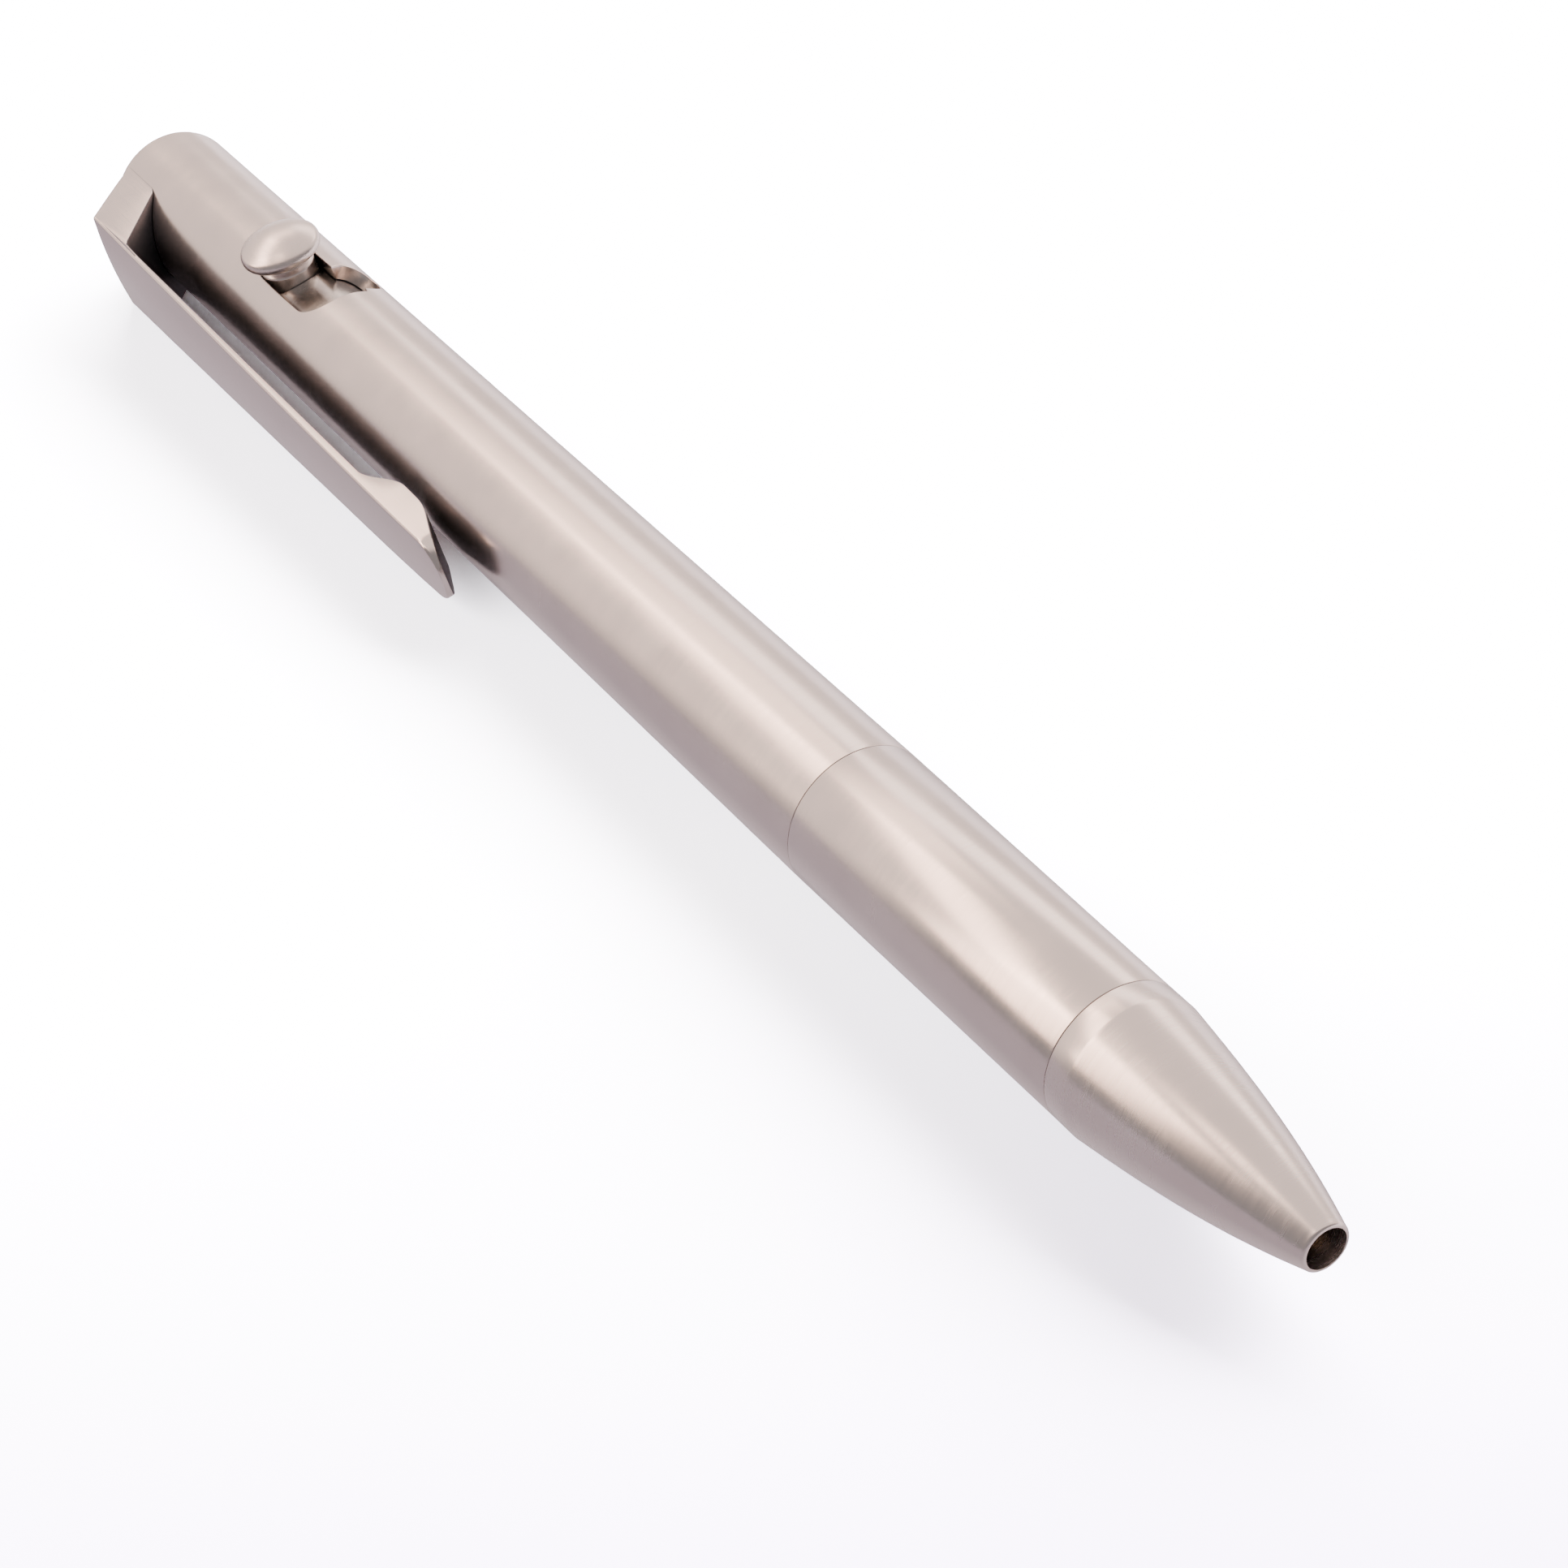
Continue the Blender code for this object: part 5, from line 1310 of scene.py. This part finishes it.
def softbox(name, turn, height, wide, tall, brightness, colour_now, stage, lit=(), unlit=()):
    """A rectangular light, placed and sized by how the pen sees it, in degrees, round the z axis and up.

    With lit it lights only those objects, and with unlit all but those."""
    turn, height = math.radians(turn), math.radians(height)
    way = Vector((math.cos(turn) * math.cos(height), math.sin(turn) * math.cos(height), math.sin(height)))
    middle = Vector((stage.light_aim, 0, 0))
    light = bpy.data.lights.new(name, "AREA")
    light.shape = "RECTANGLE"
    light.size = 2 * stage.light_distance * math.tan(math.radians(wide / 2))
    light.size_y = 2 * stage.light_distance * math.tan(math.radians(tall / 2))
    light.energy = brightness * math.pi * light.size * light.size_y
    light.color = colour_now
    item = new_object(name, light)
    item.matrix_world = aim(middle + way * stage.light_distance, middle)
    chosen = bpy.data.collections.new(name + "_choice")
    item.light_linking.receiver_collection = chosen
    for thing in (*lit, *unlit):
        chosen.objects.link(thing)
    for entry in chosen.collection_objects:
        entry.light_linking.link_state = "INCLUDE" if lit else "EXCLUDE"


def make_world(pen):
    """A pale tent that is dark on the side where the camera stands."""
    stage, colours = pen.stage, pen.colours
    world = bpy.data.worlds.new("tent")
    bpy.context.scene.world = world
    world.use_nodes = True
    tree = world.node_tree
    tree.nodes.clear()
    way = new_node(tree, "ShaderNodeTexCoord").outputs["Generated"]
    along = new_node(tree, "ShaderNodeVectorMath", {0: way, 1: (-1, 0.6, 0.6)}, operation="DOT_PRODUCT")
    feeds = {"Value": along.outputs["Value"], "From Min": 0.1, "From Max": 0.55}
    feeds.update({"To Min": stage.tent_dark, "To Max": stage.tent_bright})
    fade = made(tree, "ShaderNodeMapRange", feeds, interpolation_type="SMOOTHSTEP")
    tint = tinted(tree, fade, colours.tent_near, colours.tent_far)
    sky = made(tree, "ShaderNodeBackground", {"Color": tint, "Strength": fade})
    new_node(tree, "ShaderNodeOutputWorld", {"Surface": sky})


def make_camera(body, stage):
    data = bpy.data.cameras.new("camera")
    data.sensor_width = 36
    data.lens = stage.focal_length
    data.clip_start = 0.005
    camera = new_object("camera", data)
    side = Vector(stage.camera_side).normalized()
    back = -Vector(stage.camera_aim).normalized()
    local = Matrix((side, back.cross(side), back)).transposed().to_4x4()
    local.translation = stage.camera_place
    camera.matrix_world = pen_matrix(body) @ local
    bpy.context.scene.camera = camera


def make_floor(name, height, stage, material):
    half = stage.floor_size / 2
    mesh = bpy.data.meshes.new(name)
    corners = [(-half, -half, height), (half, -half, height), (half, half, height), (-half, half, height)]
    mesh.from_pydata(corners, [], [(0, 1, 2, 3)])
    floor = new_object(name, mesh)
    mesh.materials.append(material)
    return floor


def make_stage(pen):
    """The floor is two sheets: a bright one for the camera and a dimmer one that only the metal mirrors."""
    colours, stage = pen.colours, pen.stage
    # Painted shade: the floor seen by the camera darkens to lilac towards the camera, between these distances
    fade = ((0.85, -0.53, 0), 0.08, 0.14)
    surface = floor_surface("pale_floor", colours.floor, colours.floor_front, *fade)
    seen = make_floor("floor", 0, stage, surface)
    seen.visible_glossy = False
    seen.visible_shadow = False
    # Painted shade: the mirrored floor is dark on the clip's side, where the pen's shade falls, and bright
    # behind the pen
    fade = ((0, 1, 0), -0.01, 0.03)
    surface = floor_surface("mirrored_floor", colours.mirrored_near_shade, colours.mirrored_far, *fade)
    mirrored = make_floor("floor_mirrored", -0.00002, stage, surface)
    mirrored.visible_camera = False
    mirrored.visible_diffuse = False
    make_camera(pen.body, stage)
    make_world(pen)
    key, side, pale = colours.key_light, colours.side_light, colours.floor_light
    # Turn, height, width and height of the light in degrees, brightness, colour
    for name, *light in (
        ("key_box", -156, 49, 36, 15, 6.5, key),
        ("front_box", -123, 37, 18, 38, 6.5, key),
        ("top_box", -122, 74, 12, 14, 4, key),
        ("rear_box", 168, 41, 26, 12, 3.2, key),
        ("side_box", 128, 28, 46, 16, 2.8, side),
    ):
        softbox(name, *light, stage, unlit=[seen])
    for name, *light, lit in (
        ("floor_box", 105, 38, 96, 36, 98, pale, seen),
        ("floor_front_box", -80, 42, 96, 40, 22, pale, seen),
        ("floor_fill", -95, 52, 90, 80, 17, pale, mirrored),
    ):
        softbox(name, *light, stage, lit=[lit])


# Operators


class PenSettings(bpy.types.PropertyGroup):
    """All settings of the pen."""

    body: PointerProperty(type=PenBodySizes, name="Body", description="Barrels and nose")
    bolt: PointerProperty(type=PenBoltSizes, name="Bolt", description="Slot, knob and plunger")
    clip: PointerProperty(type=PenClipSizes, name="Clip", description="Clip and its screw")
    refill: PointerProperty(type=PenRefillSizes, name="Refill", description="Refill and spring")
    colours: PointerProperty(type=PenColours, name="Colours", description="Colours of the finishes")
    stage: PointerProperty(type=PenStageSettings, name="Stage", description="Camera and light")


class PEN_OT_rear_barrel(bpy.types.Operator):
    """Make the rear barrel with its bolt slot"""

    bl_idname = "pen.rear_barrel"
    bl_label = "Rear Barrel"

    def execute(self, context):
        make_rear_barrel(context.scene.pen)
        return {"FINISHED"}


class PEN_OT_front_barrel(bpy.types.Operator):
    """Make the front barrel with its thread"""

    bl_idname = "pen.front_barrel"
    bl_label = "Front Barrel"

    def execute(self, context):
        make_front_barrel(context.scene.pen)
        return {"FINISHED"}


class PEN_OT_nose(bpy.types.Operator):
    """Make the nose cone"""

    bl_idname = "pen.nose"
    bl_label = "Nose Cone"

    def execute(self, context):
        make_nose(context.scene.pen)
        return {"FINISHED"}


class PEN_OT_clip(bpy.types.Operator):
    """Make the milled clip and its screw"""

    bl_idname = "pen.clip"
    bl_label = "Clip"

    def execute(self, context):
        make_clip(context.scene.pen)
        make_clip_screw(context.scene.pen)
        return {"FINISHED"}


class PEN_OT_bolt(bpy.types.Operator):
    """Make the bolt's knob and its plunger"""

    bl_idname = "pen.bolt"
    bl_label = "Bolt"

    def execute(self, context):
        make_plunger(context.scene.pen)
        make_knob(context.scene.pen)
        return {"FINISHED"}


class PEN_OT_rings(bpy.types.Operator):
    """Make the three rubber rings"""

    bl_idname = "pen.rings"
    bl_label = "Rubber Rings"

    def execute(self, context):
        make_rings(context.scene.pen)
        return {"FINISHED"}


class PEN_OT_refill(bpy.types.Operator):
    """Make the refill and its point"""

    bl_idname = "pen.refill"
    bl_label = "Refill"

    def execute(self, context):
        make_refill(context.scene.pen)
        return {"FINISHED"}


class PEN_OT_spring(bpy.types.Operator):
    """Make the return spring"""

    bl_idname = "pen.spring"
    bl_label = "Return Spring"

    def execute(self, context):
        make_spring(context.scene.pen)
        return {"FINISHED"}


class PEN_OT_stage(bpy.types.Operator):
    """Make the floor, the lights and the camera"""

    bl_idname = "pen.stage"
    bl_label = "Stage"

    def execute(self, context):
        make_stage(context.scene.pen)
        return {"FINISHED"}


OPERATORS = (
    PEN_OT_rear_barrel,
    PEN_OT_front_barrel,
    PEN_OT_nose,
    PEN_OT_clip,
    PEN_OT_bolt,
    PEN_OT_rings,
    PEN_OT_refill,
    PEN_OT_spring,
    PEN_OT_stage,
)


class PEN_PT_panel(bpy.types.Panel):
    """Lists the pieces of the pen"""

    bl_idname = "PEN_PT_panel"
    bl_label = "Bolt Action Pen"
    bl_space_type = "VIEW_3D"
    bl_region_type = "UI"
    bl_category = "Pen"

    def draw(self, context):
        for operator in OPERATORS:
            self.layout.operator(operator.bl_idname)


GROUPS = (PenBodySizes, PenBoltSizes, PenClipSizes, PenRefillSizes, PenColours, PenStageSettings, PenSettings)
CLASSES = (*GROUPS, *OPERATORS, PEN_PT_panel)


def register():
    for item in CLASSES:
        bpy.utils.register_class(item)
    bpy.types.Scene.pen = PointerProperty(type=PenSettings, name="Pen", description="Settings of the pen")


def unregister():
    del bpy.types.Scene.pen
    for item in reversed(CLASSES):
        bpy.utils.unregister_class(item)


def main():
    register()
    bpy.ops.pen.rear_barrel()
    bpy.ops.pen.front_barrel()
    bpy.ops.pen.nose()
    bpy.ops.pen.clip()
    bpy.ops.pen.bolt()
    bpy.ops.pen.rings()
    bpy.ops.pen.refill()
    bpy.ops.pen.spring()
    bpy.ops.pen.stage()


if __name__ == "__main__":
    main()
